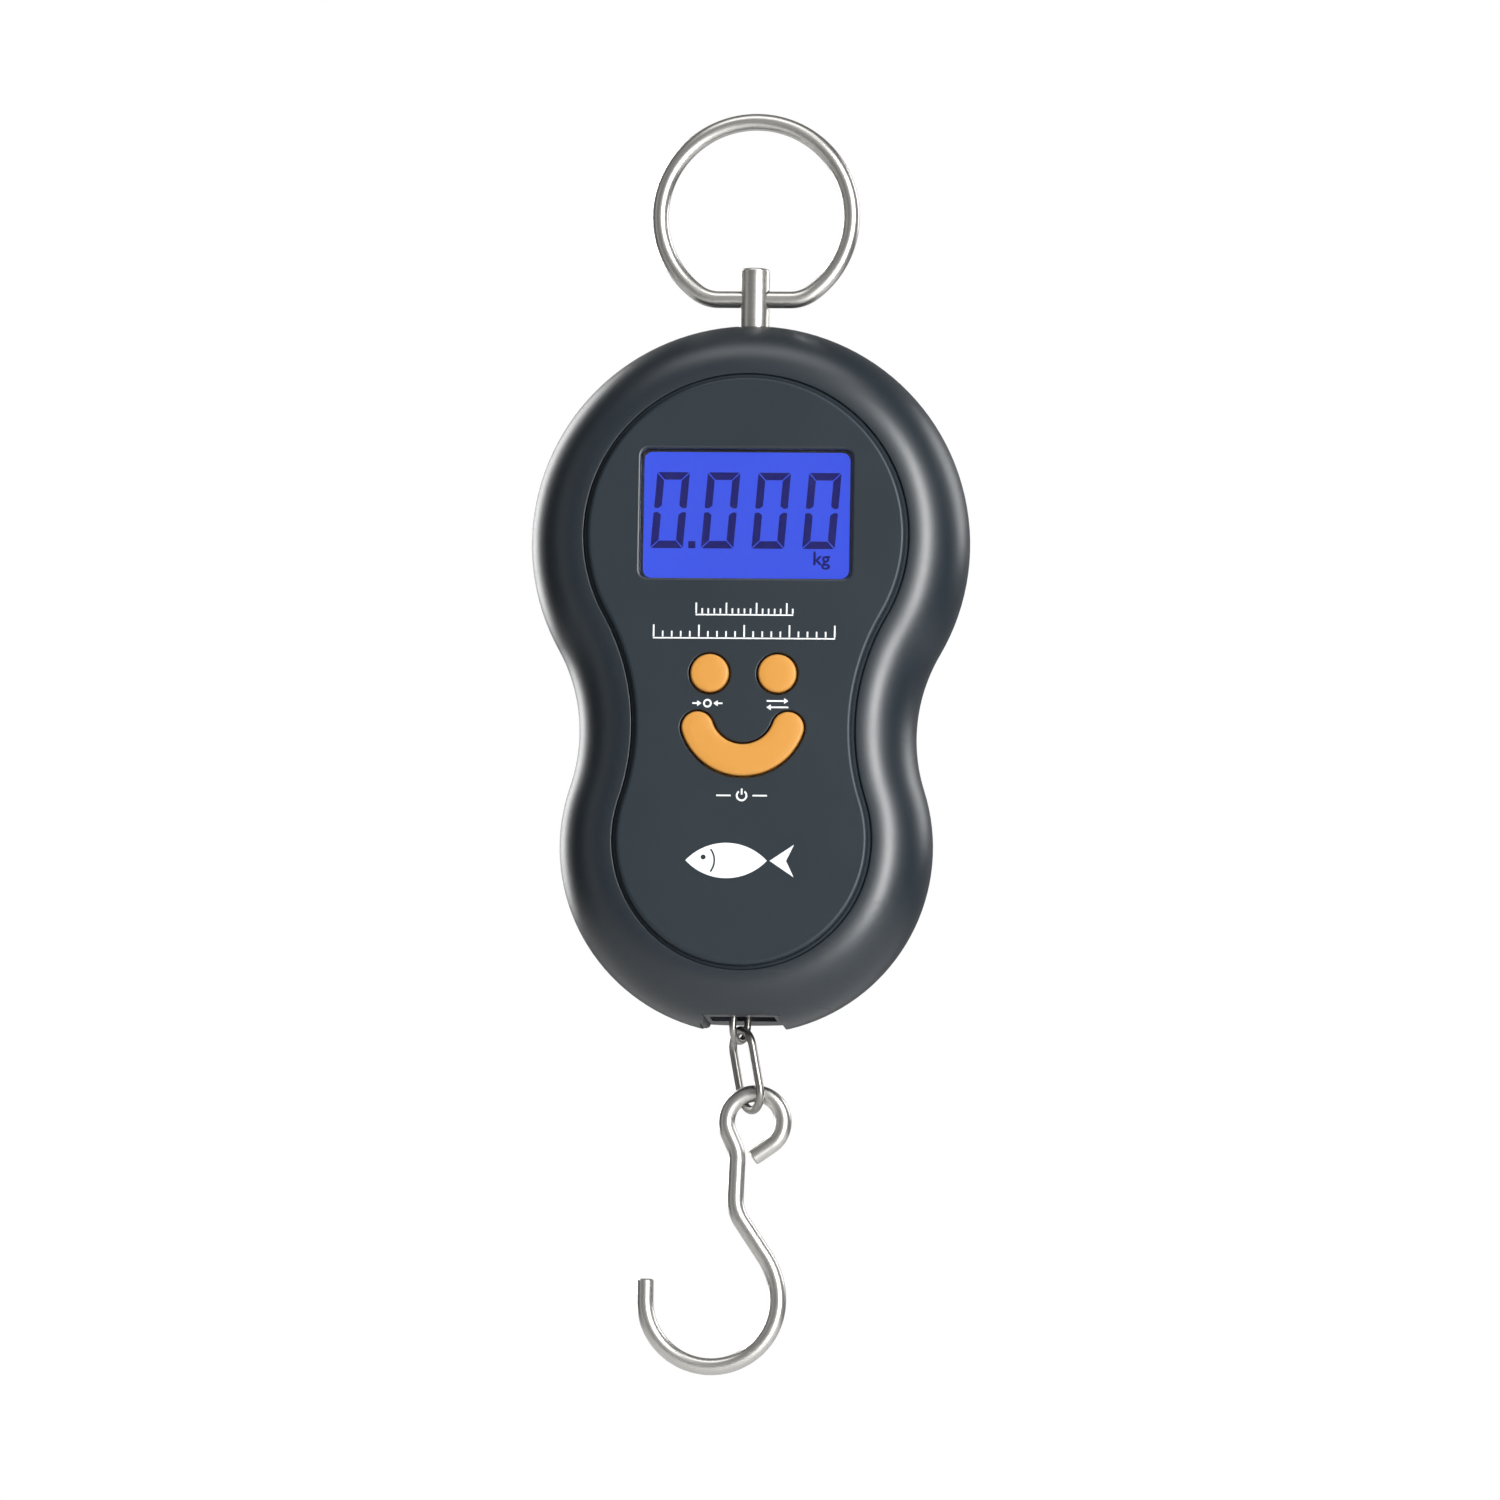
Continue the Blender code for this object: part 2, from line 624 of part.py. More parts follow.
def make_gauges():
    """A strain gauge on each side of the flexing middle, under a bead of sealant, with two wires each."""
    outside = CELL_HALF_WIDTH + 0.15 * MM
    wires = {-1: ("green", "white"), 1: ("red", "black")}
    for side, name in ((-1, "left"), (1, "right")):
        z = CELL_MIDDLE_Z
        film = sorted((side * outside, side * (outside + 0.2 * MM)))
        box(
            f"strain_gauge_{name}",
            (film[0], -1.8 * MM, z - 4 * MM),
            (film[1], 1.8 * MM, z + 4 * MM),
            "gauge_film",
        )
        bm = bmesh.new()
        bmesh.ops.create_uvsphere(bm, u_segments=12, v_segments=8, radius=1.0)
        bmesh.ops.scale(bm, vec=(1.1 * MM, 2.2 * MM, 6 * MM), verts=bm.verts)
        bmesh.ops.translate(bm, vec=(side * (outside + 0.35 * MM), 0, z), verts=bm.verts)
        bmesh.ops.bisect_plane(
            bm,
            geom=bm.verts[:] + bm.edges[:] + bm.faces[:],
            plane_co=(side * (outside + 0.35 * MM), 0, 0),
            plane_no=(-side, 0, 0),
            clear_outer=True,
        )
        bmesh.ops.holes_fill(bm, edges=[e for e in bm.edges if e.is_boundary], sides=0)
        mesh_object(f"gauge_sealant_{name}", bm, "sealant")
        for i, colour in enumerate(wires[side]):
            start = Vector((side * (outside + 1.75 * MM), 0, z + (0.9 - 1.8 * i) * MM))
            end = Vector((side * 15 * MM, BOARD_REAR_Y + GAP, z + (9.8 - 1.8 * i) * MM))
            route = interpolate_bezier(
                start, start + Vector((side * 2.5 * MM, 0, 0)), end + Vector((0, 3.5 * MM, 0)), end, 11
            )
            wire(f"load_cell_wire_{colour}", route, 0.35 * MM, f"{colour}_wire")


# ---------------------------------------------------------------- links and hook


def link_points(top, length, width, tilt, twist, steps=12):
    """A stadium-shaped link hanging from top, the centre of its upper bend's wire."""
    half = width / 2
    flat = arc((0, -half), half, 0, 180, steps) + arc((0, half - length), half, 180, 360, steps)
    place = Matrix.Translation(top) @ Matrix.Rotation(tilt, 4, "Y") @ Matrix.Rotation(twist, 4, "Z")
    return [place @ Vector((u, 0, w)) for u, w in flat]


def make_links_and_hook():
    hanger = link_points(HANGER_TOP, HANGER_LENGTH, HANGER_WIDTH, HANGER_TILT, HANGER_TWIST)
    wire("hanger_link", hanger, HANGER_WIRE_R, "wire_steel", closed=True)
    link = link_points(LINK_TOP, LINK_LENGTH, LINK_WIDTH, LINK_TILT, LINK_TWIST)
    wire("chain_link", link, LINK_WIRE_R, "wire_steel", closed=True)
    wire("hook", in_plane(bent_wire(HOOK_TIP, -90, HOOK_BENDS)), HOOK_WIRE_R, "wire_steel", detail=4)


# ---------------------------------------------------------------- display and circuit board


def make_display():
    top, bottom = WINDOW_CENTRE_Z + WINDOW_HEIGHT / 2, WINDOW_CENTRE_Z - WINDOW_HEIGHT / 2
    lens_front = PANEL_INNER_Y - LENS_THICKNESS
    plate(
        "display_window",
        rounded_rectangle(
            WINDOW_WIDTH / 2 + LENS_MARGIN, top + LENS_MARGIN, bottom - LENS_MARGIN, 1.8 * MM
        ),
        lens_front,
        PANEL_INNER_Y,
        "clear",
    )
    glass_half, glass_top, glass_bottom = 19.5 * MM, -54.4 * MM, -82.4 * MM
    box(
        "lcd_glass",
        (-glass_half, -10.2 * MM, glass_bottom),
        (glass_half, -8.3 * MM, glass_top),
        "display",
    )
    box(
        "backlight_panel",
        (-19.0 * MM, -8.0 * MM, -79.6 * MM),
        (19.0 * MM, -5.5 * MM, glass_top),
        "light_guide",
    )
    box(
        "zebra_strip",
        (-17.0 * MM, -8.0 * MM, -81.8 * MM),
        (17.0 * MM, -5.5 * MM, -80.0 * MM),
        "black_part",
    )
    frame = box(
        "display_frame",
        (-21.2 * MM, -9.0 * MM, glass_bottom - 1.6 * MM),
        (21.2 * MM, -5.5 * MM, glass_top + 1.6 * MM),
        "black_part",
    )
    inside = box(
        "frame_opening",
        (-glass_half - GAP, -12 * MM, glass_bottom - GAP),
        (glass_half + GAP, -4 * MM, glass_top + GAP),
    )
    cut(frame, inside)


def make_board():
    board = plate(
        "main_board",
        rounded_rectangle(BOARD_HALF_WIDTH, BOARD_TOP_Z, BOARD_BOTTOM_Z, 6 * MM),
        BOARD_FRONT_Y,
        BOARD_REAR_Y,
        "board",
    )
    cut(board, rods_along_y("board_holes", mirrored(BOARD_SCREWS), 1.2 * MM, -7 * MM, -2 * MM, sides=10))
    behind = BOARD_REAR_Y + 0.1 * MM
    blob = [(0, 1.6), (2.0, 1.5), (3.6, 1.0), (4.5, 0.0), (0, 0.0)]
    turned(
        "processor_blob",
        [(r * MM, y * MM) for r, y in blob],
        (15 * MM, behind, -102 * MM),
        "black_part",
        steps=16,
    )
    box("memory_chip", (-17 * MM, behind, -104 * MM), (-13 * MM, behind + 1.5 * MM, -99 * MM), "black_part")
    screw = [(0, -2.3), (1.7, -2.4), (1.9, -3.7), (0.8, -3.7), (0.8, -8.6), (0, -9.1)]
    for row, (x, z) in zip(("upper", "lower"), BOARD_SCREWS):
        for side, name in ((-1, "left"), (1, "right")):
            turned(
                f"board_screw_{row}_{name}",
                [(r * MM, y * MM) for r, y in screw],
                (side * x, 0, z),
                "screw_steel",
                steps=12,
            )


# ---------------------------------------------------------------- buttons and their switches


def arc_button_outline(grow=0.0):
    """The curved button seen from the front: a band of an arc with round ends, grown by a margin."""
    half = ARC_BUTTON_HALF_WIDTH + grow
    centre = (0, ARC_BUTTON_Z)
    left, right = -180 + ARC_BUTTON_RISE, -ARC_BUTTON_RISE
    (left_x, left_z), (right_x, right_z) = (
        arc(centre, ARC_BUTTON_R, angle, angle, 1)[0] for angle in (left, right)
    )
    return (
        arc(centre, ARC_BUTTON_R + half, left, right, 16)
        + arc((right_x, right_z), half, right, right + 180, 8)[1:-1]
        + arc(centre, ARC_BUTTON_R - half, right, left, 12)
        + arc((left_x, left_z), half, left + 180, left + 360, 8)[1:-1]
    )


def make_round_button(name, x):
    profile = [(0, -9.2), (1.5, -9.2), (1.5, -9.6), (3.9, -9.6), (3.9, -10.2), (3.15, -10.2), (3.15, -13.0)]
    crown = [(2.95, -13.3), (2.5, -13.4), (0, -13.4)]
    turned(
        name,
        [(r * MM, y * MM) for r, y in profile + crown],
        (x, 0, ROUND_BUTTON_Z),
        "button",
        steps=28,
    )


def make_arc_button():
    button = plate("power_button", arc_button_outline(), BUTTON_FRONT_Y, -10.0 * MM, "button")
    join(
        button,
        plate("arc_flange", arc_button_outline(0.8 * MM), -10.2 * MM, -9.6 * MM),
        rods_along_y("arc_stem", [(0, POWER_SWITCH_Z)], 1.5 * MM, -9.8 * MM, -9.2 * MM),
    )


def make_switch(name, x, z):
    """A square switch on the board, and the plunger that the button pushes into it."""
    half = 3 * MM
    body = box(
        name + "_switch",
        (x - half, -8.4 * MM, z - half),
        (x + half, BOARD_FRONT_Y - GAP, z + half),
        "black_part",
    )
    cut(body, rods_along_y(name + "_bore", [(x, z)], 1.95 * MM, -9.5 * MM, -5.9 * MM))
    rods_along_y(name + "_plunger", [(x, z)], 1.7 * MM, -8.9 * MM, -6.6 * MM, "black_part")


def make_buttons():
    for name, x in (("tare", -ROUND_BUTTON_X), ("unit", ROUND_BUTTON_X)):
        make_round_button(name + "_button", x)
        make_switch(name, x, ROUND_BUTTON_Z)
    make_arc_button()
    make_switch("power", 0, POWER_SWITCH_Z)


# ---------------------------------------------------------------- batteries and door


def door_axis():
    """(Y, Z) of the door's hinge line, at the middle of its rounded top edge."""
    half = (DOOR_OUTER_Y - DOOR_INNER_Y) / 2
    return DOOR_INNER_Y + half, DOOR_TOP_Z - half


def make_battery_door():
    bm = bmesh.new()
    add_box(
        bm,
        (-DOOR_HALF_WIDTH, DOOR_INNER_Y, DOOR_BOTTOM_Z),
        (DOOR_HALF_WIDTH, DOOR_OUTER_Y, DOOR_TOP_Z),
    )
    top_edges = [e for e in bm.edges if all(abs(v.co.z - DOOR_TOP_Z) < 0.01 * MM for v in e.verts)]
    long_edges = [e for e in top_edges if abs(e.verts[0].co.x - e.verts[1].co.x) > 1 * MM]
    radius = (DOOR_OUTER_Y - DOOR_INNER_Y) / 2 - 0.02 * MM
    bmesh.ops.bevel(bm, geom=long_edges, offset=radius, segments=4, profile=0.5, affect="EDGES")
    door = mesh_object("battery_door", bm, "casing")
    pins = bmesh.new()
    y, z = door_axis()
    reach = DOOR_HALF_WIDTH + DOOR_PIN_LENGTH
    add_rod(pins, DOOR_PIN_R, (-reach, y, z), (reach, y, z), 10)
    join(door, mesh_object("door_pins", pins))


def battery_profile():
    """Shell, shoulder and positive nub, as (radius, distance from the flat end)."""
    nub_r, body = 1.9 * MM, BATTERY_LENGTH
    return [
        (0, body + BATTERY_NUB),
        (nub_r, body + BATTERY_NUB),
        (nub_r, body),
        (BATTERY_R - 0.5 * MM, body),
        (BATTERY_R, body - 0.5 * MM),
        (BATTERY_R, 0.4 * MM),
        (BATTERY_R - 0.4 * MM, 0),
        (0, 0),
    ]


def spring_points(x, z_wide, z_narrow, turns=4, per_turn=12):
    """A cone-shaped coil whose narrow end meets the battery."""
    count = turns * per_turn
    points = []
    for i in range(count + 1):
        share = i / count
        radius = (3.6 - 1.6 * share) * MM
        angle = 2 * math.pi * turns * share
        height = z_wide + (z_narrow - z_wide) * share
        points.append((x + radius * math.cos(angle), BATTERY_Y + radius * math.sin(angle), height))
    return points


def make_batteries():
    reach = BATTERY_LENGTH + BATTERY_NUB
    nub_up_end = BAY_TOP_Z - 1.2 * MM - reach
    turned("battery_left", battery_profile(), (-BATTERY_X, BATTERY_Y, nub_up_end), "battery", axis="Z")
    nub_down_end = BAY_BOTTOM_Z + 1.2 * MM + reach
    flipped = turned(
        "battery_right", battery_profile(), (BATTERY_X, BATTERY_Y, nub_down_end), "battery", axis="Z"
    )
    flipped.rotation_euler = (math.pi, 0, 0)
    wire_r = 0.3 * MM
    seat = 0.9 * MM + wire_r
    lower = spring_points(-BATTERY_X, BAY_BOTTOM_Z + seat, nub_up_end - GAP - wire_r)
    upper = spring_points(BATTERY_X, BAY_TOP_Z - seat, nub_down_end + GAP + wire_r)
    wire("battery_spring_lower", lower, wire_r, "contact", detail=1)
    wire("battery_spring_upper", upper, wire_r, "contact", detail=1)


def make_contacts():
    low_y, high_y, thick = BAY_FLOOR_Y + 0.6 * MM, 13.6 * MM, 0.4 * MM
    top = BAY_TOP_Z - 0.2 * MM
    bottom = BAY_BOTTOM_Z + 0.2 * MM
    outer, inner = 10.6 * MM, 0.6 * MM
    box("contact_positive", (-outer, low_y, top - thick), (-inner, high_y, top), "contact")
    box("contact_negative", (inner, low_y, top - thick), (outer, high_y, top), "contact")
    box("contact_bridge", (-outer, low_y, bottom), (outer, high_y, bottom + thick), "contact")
    for side, colour in ((-1, "red"), (1, "black")):
        start = Vector((side * 9 * MM, 8 * MM, BAY_TOP_Z + 1.9 * MM))
        end = Vector((side * 16 * MM, BOARD_REAR_Y + GAP, -59 * MM))
        route = interpolate_bezier(
            start,
            start + Vector((side * 2 * MM, -2 * MM, 6 * MM)),
            end + Vector((0, 7 * MM, 0)),
            end,
            12,
        )
        wire(f"battery_lead_{colour}", route, 0.5 * MM, f"{colour}_wire")


# ---------------------------------------------------------------- joints


def attach(child, parent):
    bpy.context.view_layer.update()
    child.parent = parent
    child.matrix_parent_inverse = parent.matrix_world.inverted()


def pivot(name, place, piece_names, parent=None):
    """An empty on a joint's axis, with the pieces that move on that joint as its children."""
    empty = bpy.data.objects.new(name, None)
    empty.location = place
    parts.objects.link(empty)
    if parent:
        attach(empty, parent)
    for piece_name in piece_names:
        attach(parts.objects[piece_name], empty)
    return empty


def make_joints():
    """The casing swings on the ring, and the buttons, the battery door and the hanging chain on it."""
    buttons = {
        "tare": (-ROUND_BUTTON_X, ROUND_BUTTON_Z),
        "unit": (ROUND_BUTTON_X, ROUND_BUTTON_Z),
        "power": (0, POWER_SWITCH_Z),
    }
    moving = ["hanging_ring", "hanger_link", "chain_link", "hook", "battery_door"]
    moving += [name + end for name in buttons for end in ("_button", "_plunger")]
    in_casing = [obj.name for obj in parts.objects if obj.name not in moving]
    casing = pivot("ring_swing_axis", (0, 0, RING_AXIS_Z), in_casing)
    for name, (x, z) in buttons.items():
        pivot(name + "_press_axis", (x, 0, z), [name + "_button", name + "_plunger"], casing)
    pivot("door_hinge_axis", (0, *door_axis()), ["battery_door"], casing)
    hanger = pivot("hanger_swing_axis", HANGER_TOP, ["hanger_link"], casing)
    link = pivot("link_swing_axis", LINK_TOP, ["chain_link"], hanger)
    link_bottom = LINK_TOP - Matrix.Rotation(LINK_TILT, 3, "Y") @ Vector((0, 0, LINK_LENGTH))
    pivot("hook_swing_axis", link_bottom - Vector((0, 0, HOOK_PIVOT_DROP)), ["hook"], link)


clear_scene()
parts = new_collection("fish_scale")
helpers = new_collection("cutters_and_joined_shapes")
make_hanging_ring()
make_top_post()
make_post_lock_nut()
make_load_cell()
make_gauges()
make_links_and_hook()
make_front_cover()
make_rear_cover()
make_case_screws()
make_display()
make_board()
make_buttons()
make_batteries()
make_battery_door()
make_contacts()
make_joints()
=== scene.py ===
"""Looks of the digital hanging fish scale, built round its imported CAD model.

Metres, in the CAD's own frame: +Z up, the display looks along -Y, and the origin is the ring's inner top.
Each operator makes one piece or a group of like pieces, and the panel in the sidebar lists them all.
"""

import math

import bmesh
import bpy
from mathutils import Matrix, Vector


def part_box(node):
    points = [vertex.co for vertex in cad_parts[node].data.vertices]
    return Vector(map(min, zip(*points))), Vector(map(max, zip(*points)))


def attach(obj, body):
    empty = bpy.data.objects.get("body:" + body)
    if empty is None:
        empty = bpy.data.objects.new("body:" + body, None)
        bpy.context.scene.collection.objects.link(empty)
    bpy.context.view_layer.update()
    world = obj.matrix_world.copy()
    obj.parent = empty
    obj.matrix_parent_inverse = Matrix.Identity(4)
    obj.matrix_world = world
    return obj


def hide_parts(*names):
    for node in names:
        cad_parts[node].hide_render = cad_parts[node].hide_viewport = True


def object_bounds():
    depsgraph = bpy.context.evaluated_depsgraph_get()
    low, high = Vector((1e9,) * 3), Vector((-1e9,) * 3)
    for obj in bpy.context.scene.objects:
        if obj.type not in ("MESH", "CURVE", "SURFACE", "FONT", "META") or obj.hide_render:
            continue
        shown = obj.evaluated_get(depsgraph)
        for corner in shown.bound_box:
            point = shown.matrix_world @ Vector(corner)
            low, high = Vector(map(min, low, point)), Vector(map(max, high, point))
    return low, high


bl_info = {
    "name": "Hanging fish scale",
    "version": (1, 0, 0),
    "blender": (4, 5, 0),
    "location": "3D View > Sidebar > Fish scale",
    "description": "Builds the visible pieces, finishes and studio of a digital hanging fish scale",
    "category": "Object",
}

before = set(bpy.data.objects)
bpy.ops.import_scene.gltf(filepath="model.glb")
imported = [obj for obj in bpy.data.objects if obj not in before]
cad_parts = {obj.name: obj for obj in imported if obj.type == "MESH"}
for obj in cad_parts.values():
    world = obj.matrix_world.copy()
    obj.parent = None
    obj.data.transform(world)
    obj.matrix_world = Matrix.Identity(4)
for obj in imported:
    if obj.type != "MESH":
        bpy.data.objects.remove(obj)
CAD_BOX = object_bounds()
MM = 0.001

# Casing outline: two lobes joined by hollow waists
UPPER_LOBE_R = (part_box("front_cover")[1].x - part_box("front_cover")[0].x) / 2
LOWER_LOBE_R = 31.0 * MM
WAIST_R = 28.5 * MM
LOBE_SPACING = 50.7 * MM
UPPER_LOBE_Z = -69.7 * MM
LOWER_LOBE_Z = UPPER_LOBE_Z - LOBE_SPACING
CASING_TOP_Z = UPPER_LOBE_Z + UPPER_LOBE_R
CASING_BOTTOM_Z = LOWER_LOBE_Z - LOWER_LOBE_R
WALL = 2.2 * MM
SEAM = 0.02 * MM  # half the gap between the covers, behind their eased rims

# Front cover
FRONT_FACE_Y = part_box("front_cover")[0].y
SHOULDER_INSET = 9.3 * MM
SHOULDER_Y = FRONT_FACE_Y + 1.1 * MM
GROOVE_Y = FRONT_FACE_Y + 1.6 * MM
GROOVE_INSETS = (9.5 * MM, 10.1 * MM)
PANEL_EDGE_R = 0.7 * MM
PANEL_INNER_Y = FRONT_FACE_Y + 2.0 * MM
POST_HOLE_R = 2.8 * MM
SLOT_HALF_WIDTH = 6.2 * MM
SLOT_CEILING_Z = -149.1 * MM
SLOT_FLARE = 0.8 * MM
LINK_HOLE_HALF_WIDTH = 5.4 * MM
LINK_HOLE_TOP_Z = -143.0 * MM
SILL_HALF_WIDTH = 6.6 * MM
SILL_Z = (-149.3 * MM, -146.5 * MM)
SILL_DEPTH = 6.5 * MM
HOLE_DEEP_Y = -9.0 * MM  # how far back the holes in the front cover are cut

# Rear cover
REAR_FACE_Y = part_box("rear_cover")[1].y
REAR_INNER_Y = REAR_FACE_Y - 2.0 * MM
BAY_HALF_WIDTH = 11.6 * MM
BAY_Z = (-113.0 * MM, -61.0 * MM)
BAY_FLOOR_Y = 4.0 * MM
DOOR_CLEARANCE = 0.25 * MM
DOOR_RIDGES = 5
DOOR_RELIEF = (-0.1 * MM, 0.18 * MM)  # how far the ridges and the arrow reach into and out of the door
SCREW_WELL_R = 2.5 * MM
FINGER_NOTCH_R = 5.0 * MM
FINGER_NOTCH_Y = 15.2 * MM

# Window and display
WINDOW_CENTRE_Z = -66.2 * MM
WINDOW_HALF_WIDTH = 17.5 * MM
WINDOW_HALF_HEIGHT = 10.8 * MM
DIGIT_PITCH = 8.4 * MM
DIGIT_WIDTH = 5.4 * MM
DIGIT_HEIGHT = 12.7 * MM
SEGMENT_WIDTH = 1.25 * MM
POINT_WIDTH = 1.2 * MM
DIGITS = 4

# Buttons
ROUND_BUTTON_R = 3.15 * MM
ROUND_BUTTON_X = 5.6 * MM
ROUND_BUTTON_Z = -92.9 * MM
ARC_BUTTON_Z = -99.4 * MM
ARC_BUTTON_R = 7.9 * MM
ARC_BUTTON_HALF_WIDTH = 2.6 * MM
ARC_BUTTON_RISE = 18.5  # degrees below horizontal at which its ends lie
BUTTON_GAP = 0.3 * MM
BUTTON_FRONT_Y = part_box("tare_button")[0].y

# Wires
RING_R = 16.0 * MM
RING_WIRE_R = 1.4 * MM
RING_FLAT_DROP = 14.0 * MM
RING_CORNER_R = 6.0 * MM
RING_CENTRE_Z = RING_WIRE_R - RING_R
RING_AXIS_Z = RING_CENTRE_Z - RING_FLAT_DROP
POST_SHANK_R = 1.6 * MM
POST_SHOULDER_Z = -40.5 * MM
HOOK_WIRE_R = 1.4 * MM
HOOK_TIP = (-15.6 * MM, -192.4 * MM)
HOOK_BENDS = (  # straight length in mm, then a turn in degrees, to the left if positive, and its radius in mm
    (3.4, 180, 11.0),
    (0.0, 34, 13.0),
    (6.95, -36, 7.0),
    (5.9, 27, 6.0),
    (2.0, -260, 4.7),
    (3.7, 0, 0.0),
)
LINKS = {  # top of the wire's centre line, length, width, wire radius, tilt and twist in degrees
    "hanger_link": ((0.0, 0.0, -141.8), 11.0, 5.0, 0.6, 3.6, 65.0),
    "chain_link": ((-0.6, 0.0, -151.0), 13.4, 6.6, 0.7, -10.75, -57.0),
}

# Batteries
BATTERY_R = 5.1 * MM
BATTERY_LENGTH = 43.5 * MM
BATTERY_NUB = 1.0 * MM
BATTERY_X = 5.5 * MM
BATTERY_Y = 9.3 * MM
SPRING_WIRE_R = 0.3 * MM
SPRING_R = (3.6 * MM, 2.0 * MM)  # at its wide and its narrow end
SPRING_TURNS = 4


# ---------------------------------------------------------------- what a user can change


def colour_setting(name, description, default):
    return bpy.props.FloatVectorProperty(
        name=name, description=description, default=default, subtype="COLOR", size=3
    )


def length_setting(name, description, default):
    return bpy.props.FloatProperty(
        name=name, description=description, default=default, unit="LENGTH", precision=5
    )


def angle_setting(name, description, default):
    return bpy.props.FloatProperty(name=name, description=description, default=default, subtype="ANGLE")


def share_setting(name, description, default):
    return bpy.props.FloatProperty(name=name, description=description, default=default, min=0.0, max=1.0)


class CasingSettings(bpy.types.PropertyGroup):
    shell_colour: colour_setting("Shell colour", "Colour of the moulded covers", (0.0052, 0.0115, 0.0180))
    # The panel takes a lighter copy of the shell's plastic: painted light for its flat face, which turns to
    # the lamps and the front surroundings.
    panel_lit_colour: colour_setting(
        "Panel colour", "Colour of the raised panel round the display", (0.0080, 0.0160, 0.0235)
    )
    roughness: share_setting("Roughness", "How matt the plastic is", 0.4)
    lip: length_setting("Lip", "Rounding of the edges of holes", 0.25 * MM)
    window_lip: length_setting("Window lip", "Rounding of the edge round the display", 0.5 * MM)


class ButtonSettings(bpy.types.PropertyGroup):
    colour: colour_setting("Colour", "Colour of the three buttons", (0.57, 0.26, 0.046))
    edge: length_setting("Edge", "Rounding of the buttons' front edge", 0.45 * MM)


class DisplaySettings(bpy.types.PropertyGroup):
    backlight: colour_setting("Backlight", "Colour of the lit display", (0.040, 0.092, 0.86))
    digits: colour_setting("Digits", "Colour of the digits", (0.001, 0.0, 0.14))
    brightness: bpy.props.FloatProperty(
        name="Brightness", description="Strength of the backlight", default=1.0, min=0.0
    )
    slant: angle_setting("Slant", "How far the digits lean to the right", math.radians(4.5))


class SteelSettings(bpy.types.PropertyGroup):
    wire_colour: colour_setting("Wire colour", "Colour of the ring and the hook", (0.64, 0.63, 0.60))
    # The links take a darker copy of the ring's and hook's steel: painted shade for where they hang under the
    # casing.
    link_shaded_colour: colour_setting("Link colour", "Colour of the two links", (0.36, 0.35, 0.33))
    wire_roughness: share_setting("Wire roughness", "How dull the drawn wire is", 0.34)


class StudioSettings(bpy.types.PropertyGroup):
    azimuth: angle_setting(
        "Azimuth", "How far the camera stands to the right of the display's axis", math.radians(4.0)
    )
    elevation: angle_setting("Elevation", "Height of the camera above the horizon", math.radians(-6.5))
    roll: angle_setting("Roll", "Lean of the picture", math.radians(0.89))
    distance: length_setting("Distance", "From the camera to the scale", 2.0)
    aim: bpy.props.FloatVectorProperty(
        name="Aim",
        description="Point at the middle of the picture",
        default=(0.0004, 0.0, -0.1042),
        subtype="XYZ",
        unit="LENGTH",
        size=3,
    )
    picture_width: length_setting("Picture width", "Width of what the camera sees at the scale", 0.2492)


# ---------------------------------------------------------------- outlines, as (X, Z) points


def arc(centre, radius, start, end, steps):
    """Points on an arc from start to end in degrees, both ends included."""
    angles = [math.radians(start + (end - start) * i / steps) for i in range(steps + 1)]
    return [(centre[0] + radius * math.cos(a), centre[1] + radius * math.sin(a)) for a in angles]


def circle(centre, radius, steps=64):
    return arc(centre, radius, 0, 360, steps)[:-1]


def rounded_rectangle(left, right, bottom, top, corner, steps=8):
    return (
        arc((right - corner, top - corner), corner, 0, 90, steps)
        + arc((left + corner, top - corner), corner, 90, 180, steps)
        + arc((left + corner, bottom + corner), corner, 180, 270, steps)
        + arc((right - corner, bottom + corner), corner, 270, 360, steps)
    )


def casing_outline(inset):
    """The hourglass outline moved inwards."""
    upper, lower = UPPER_LOBE_R + WAIST_R, LOWER_LOBE_R + WAIST_R
    drop = (upper**2 - lower**2 + LOBE_SPACING**2) / (2 * LOBE_SPACING)
    waist_x, waist_z = math.sqrt(upper**2 - drop**2), UPPER_LOBE_Z - drop
    to_upper = math.degrees(math.atan2(waist_z - UPPER_LOBE_Z, waist_x))
    to_lower = math.degrees(math.atan2(waist_z - LOWER_LOBE_Z, waist_x))
    waist_r = WAIST_R + inset
    return (
        arc((0, UPPER_LOBE_Z), UPPER_LOBE_R - inset, to_upper, 180 - to_upper, 84)
        + arc((-waist_x, waist_z), waist_r, -to_upper, -to_lower, 26)[1:-1]
        + arc((0, LOWER_LOBE_Z), LOWER_LOBE_R - inset, 180 - to_lower, 360 + to_lower, 76)
        + arc((waist_x, waist_z), waist_r, 180 + to_lower, 180 + to_upper, 26)[1:-1]
    )


def round_button_outline(x, grow=0.0):
    return circle((x, ROUND_BUTTON_Z), ROUND_BUTTON_R + grow)


def arc_button_outline(grow=0.0):
    """The curved button: a band of an arc with round ends, grown by a margin."""
    half = ARC_BUTTON_HALF_WIDTH + grow
    centre = (0, ARC_BUTTON_Z)
    left, right = -180 + ARC_BUTTON_RISE, -ARC_BUTTON_RISE
    left_end, right_end = (arc(centre, ARC_BUTTON_R, angle, angle, 1)[0] for angle in (left, right))
    return (
        arc(centre, ARC_BUTTON_R + half, left, right, 48)
        + arc(right_end, half, right, right + 180, 24)[1:-1]
        + arc(centre, ARC_BUTTON_R - half, right, left, 36)
        + arc(left_end, half, left + 180, left + 360, 24)[1:-1]
    )


